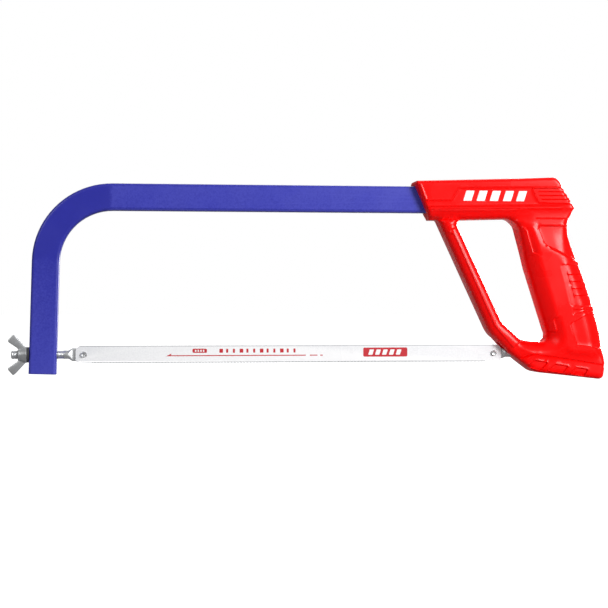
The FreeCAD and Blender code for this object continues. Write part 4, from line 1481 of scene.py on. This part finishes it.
    def cut_slot(self, piece: Piece) -> None:
        """Cut the slot that the blade's rear end and its holder enter, and the room for the tube.

        Args:
            piece: The half to cut.
        """
        tube_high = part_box("frame_tube")[1] / MM
        tube_half = (tube_high.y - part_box("frame_tube")[0].y / MM) / 2 + self.bar_gap
        bar = centre("handle_screw_1").z / MM
        bar_half = self.bar_half + self.bar_gap
        slot = self.box_tool("slot_cutter",
                             (self.origin.x - 30, self.slot_near, self.origin.z - self.slot_half),
                             (self.origin.x + self.slot_end, self.slot_far, self.origin.z + self.slot_half))
        room = self.box_tool("bar_cutter", (self.origin.x - 70, -tube_half, bar - bar_half),
                             (tube_high.x + self.bar_gap, tube_half, bar + bar_half))
        for tool in (slot, room):
            cut = piece.modifiers.new("cut", "BOOLEAN")
            cut.operation, cut.object, cut.solver = "DIFFERENCE", tool, "EXACT"
        bpy.context.view_layer.update()
        made = bpy.data.meshes.new_from_object(piece.evaluated_get(bpy.context.evaluated_depsgraph_get()))
        piece.modifiers.clear()
        piece.data = made
        for tool in (slot, room):
            bpy.data.objects.remove(tool)
        made.set_sharp_from_angle(angle=math.radians(self.sharp_degrees))

    def screw(self, index: int) -> None:
        """Build one screw with a cross recess in its head.

        Args:
            index: Number of the screw, from 1.
        """
        name = "handle_screw_%d" % index
        spot = centre(name)
        start = Vector((spot.x, 0.0, spot.z))
        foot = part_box(name)[0].y / MM
        steps = 48
        profile = [(0.6, foot), (1.5, foot + 1.4), (1.5, 8.9), (2.7, 9.0), (2.88, 9.25), (2.86, 9.9),
                   (2.5, 10.55), (1.9, 10.9), (1.5, self.screw_top - 0.01)]
        rings = [ring_about(start, "+y", along, [radius] * steps) for radius, along in profile]
        # The recess: four arms that narrow a little with depth.
        cross = [0.42 + abs(math.cos(4 * math.pi * k / steps)) ** 6 for k in range(steps)]
        for depth, share in ((0.0, 1.0), (0.9, 0.72)):
            rings.append(ring_about(start, "+y", self.screw_top - depth, [share * reach for reach in cross]))
        place(loft(name + "_turned", rings), Body.FRAME, "black_screw", BLACK_SCREW, name)

    def inlay(self, side: Side) -> None:
        """Lay a plain row of white blocks into the housing's flank.

        Args:
            side: The flank to lay them into.
        """
        for i, corners in enumerate(block_mark(-25.2, 24.2, 111.9, 119.4)):
            path = rounded_path(corners, 0.8)
            rings = []
            for level, inset in ((self.half - 0.6, 0.0), (self.half + 0.12, 0.0), (self.half + 0.2, 0.1)):
                rings.append(self.lifted(shrunk(path, inset), np.full(len(path), level), side))
            name = "inlay_%s_%d" % (side.name.lower(), i + 1)
            place(loft(name, rings, 40.0), Body.FRAME, "red_plastic", WHITE_MARK)

    def build(self) -> None:
        """Build both halves, their screws and marks."""
        for side in Side:
            self.shell(side)
            self.inlay(side)
        for i in range(len(self.screws)):
            self.screw(i + 1)


# ---------------------------------------------------------------------------------- studio

@dataclass
class Studio:
    """The pale floor, the soft lights and the camera."""

    eye: tuple[float, float, float] = (-0.1185, -0.9717, -0.0185)
    yaw: float = -6.57
    roll: float = -0.009
    focal: float = 79.25
    shift: tuple[float, float] = (0.0018, -0.0004)
    floor_gap: float = 0.0006
    floor_glow: float = 0.93
    floor_radii: tuple[float, ...] = (0.6, 1.4, 3.0, 6.0)
    floor_steps: int = 48
    key_watts: float = 23.0
    fill_watts: float = 3.5
    rim_watts: float = 3.0

    @staticmethod
    def seen_apart(tree: Tree, elsewhere: Socket, to_camera: Socket) -> Socket:
        """Show one shader to the camera and another to all other rays.

        Args:
            tree: The node tree.
            elsewhere: The shader that lights the object.
            to_camera: The shader that the camera sees.

        Returns:
            The joined shader.
        """
        blend = tree.nodes.new("ShaderNodeMixShader")
        tree.links.new(tree.nodes.new("ShaderNodeLightPath").outputs["Is Camera Ray"], blend.inputs[0])
        tree.links.new(elsewhere, blend.inputs[1])
        tree.links.new(to_camera, blend.inputs[2])
        return blend.outputs[0]

    def surround(self) -> None:
        """Make the world: plain white to the eye, and a soft room, darker low down, for the lighting."""
        world = bpy.data.worlds.new("studio")
        world.use_nodes = True
        tree = world.node_tree
        tree.nodes.clear()
        split = tree.nodes.new("ShaderNodeSeparateXYZ")
        tree.links.new(tree.nodes.new("ShaderNodeTexCoord").outputs["Generated"], split.inputs[0])
        level = add_range(tree, split.outputs["Z"], -0.4, 1.0, 0.03, 0.42)
        room, plain = tree.nodes.new("ShaderNodeBackground"), tree.nodes.new("ShaderNodeBackground")
        tree.links.new(level, room.inputs["Strength"])
        for background in (room, plain):
            background.inputs["Color"].default_value = (1, 1, 1, 1)
        blend = self.seen_apart(tree, room.outputs[0], plain.outputs[0])
        tree.links.new(blend, tree.nodes.new("ShaderNodeOutputWorld").inputs[0])
        bpy.context.scene.world = world

    def floor_mesh(self) -> Piece:
        """Make the round floor just below the object."""
        level, steps = CAD_LOW.z - self.floor_gap, self.floor_steps
        points = [(0.0, 0.0, level)]
        for radius in self.floor_radii:
            for k in range(steps):
                a = 2 * math.pi * k / steps
                points.append((radius * math.cos(a), radius * math.sin(a), level))
        faces = [(0, 1 + k, 1 + (k + 1) % steps) for k in range(steps)]
        for i in range(len(self.floor_radii) - 1):
            a, b = 1 + i * steps, 1 + (i + 1) * steps
            faces += [(a + k, b + k, b + (k + 1) % steps, a + (k + 1) % steps) for k in range(steps)]
        return make_mesh("floor", points, faces)

    def floor_paint(self) -> bpy.types.Material:
        """Make the floor's pale matt paint, a little brighter to the camera than in its own light."""
        paint = bpy.data.materials.new("pale_floor")
        paint.use_nodes = True
        tree = paint.node_tree
        shader = tree.nodes["Principled BSDF"]
        shader.inputs["Roughness"].default_value = 0.9
        shader.inputs["Specular IOR Level"].default_value = 0.0
        vector = tree.nodes.new("ShaderNodeTexCoord").outputs["Object"]
        ramp = tree.nodes.new("ShaderNodeMix")
        ramp.data_type = "RGBA"
        ramp.inputs[6].default_value = (0.3, 0.3, 0.3, 1)
        ramp.inputs[7].default_value = (0.33, 0.33, 0.33, 1)
        tree.links.new(add_noise(tree, vector, 6.0, 2.0), ramp.inputs[0])
        tree.links.new(ramp.outputs[2], shader.inputs["Base Color"])
        glow = tree.nodes.new("ShaderNodeEmission")
        glow.inputs["Color"].default_value = (1, 1, 1, 1)
        glow.inputs["Strength"].default_value = self.floor_glow
        both = tree.nodes.new("ShaderNodeAddShader")
        tree.links.new(shader.outputs[0], both.inputs[0])
        tree.links.new(glow.outputs[0], both.inputs[1])
        seen = self.seen_apart(tree, shader.outputs[0], both.outputs[0])
        tree.links.new(seen, tree.nodes["Material Output"].inputs[0])
        return paint

    @staticmethod
    def light(name: str, spot: Place, aim: Place, size: float, watts: float) -> None:
        """Add a square area light.

        Args:
            name: Name of the light.
            spot: Its place.
            aim: What it points at.
            size: Side of the square.
            watts: Its power.
        """
        data = bpy.data.lights.new(name, "AREA")
        data.size, data.energy = size, watts
        lamp = bpy.data.objects.new(name, data)
        lamp.location = spot
        lamp.rotation_euler = (Vector(aim) - Vector(spot)).to_track_quat("-Z", "Y").to_euler()
        bpy.context.scene.collection.objects.link(lamp)

    def camera(self) -> None:
        """Set the camera at the viewing place."""
        data = bpy.data.cameras.new("camera")
        data.lens = self.focal
        data.shift_x, data.shift_y = self.shift
        camera = bpy.data.objects.new("camera", data)
        camera.location = self.eye
        camera.rotation_euler = (math.radians(90), math.radians(self.roll), math.radians(self.yaw))
        bpy.context.scene.collection.objects.link(camera)
        bpy.context.scene.camera = camera

    def build(self) -> None:
        """Set up floor, world, lights and camera."""
        floor = self.floor_mesh()
        floor.data.materials.append(self.floor_paint())
        self.surround()
        bpy.context.scene.view_settings.view_transform = "Standard"
        self.light("key", (0.96, -1.13, 0.45), (0.05, 0, 0), 0.55, self.key_watts)
        self.light("fill", (-0.9, -1.1, 0.6), (0, 0, 0), 0.5, self.fill_watts)
        self.light("rim", (0.1, 0.9, 0.9), (0, 0, 0), 0.8, self.rim_watts)
        self.light("back_key", (0.75, 1.1, 0.15), (0, 0, 0), 0.6, self.key_watts * 0.8)
        self.camera()


def main() -> None:
    """Build every sub-assembly in order."""
    logging.basicConfig(level=logging.INFO, format="%(name)s: %(message)s")
    Studio().build()
    TubeFrame().build()
    Blade().build()
    Stud("tension_stud", "tension_bolt", "front_blade_pin", Body.BOLT, -1, 4.6, 11.0, tail=50.9).build()
    Stud("rear_stud", "rear_blade_holder", "rear_blade_pin", Body.FRAME, 1, 4.0, 9.6, tail=36.0).build()
    WingNut().build()
    Handle().build()


if __name__ == "__main__":
    main()
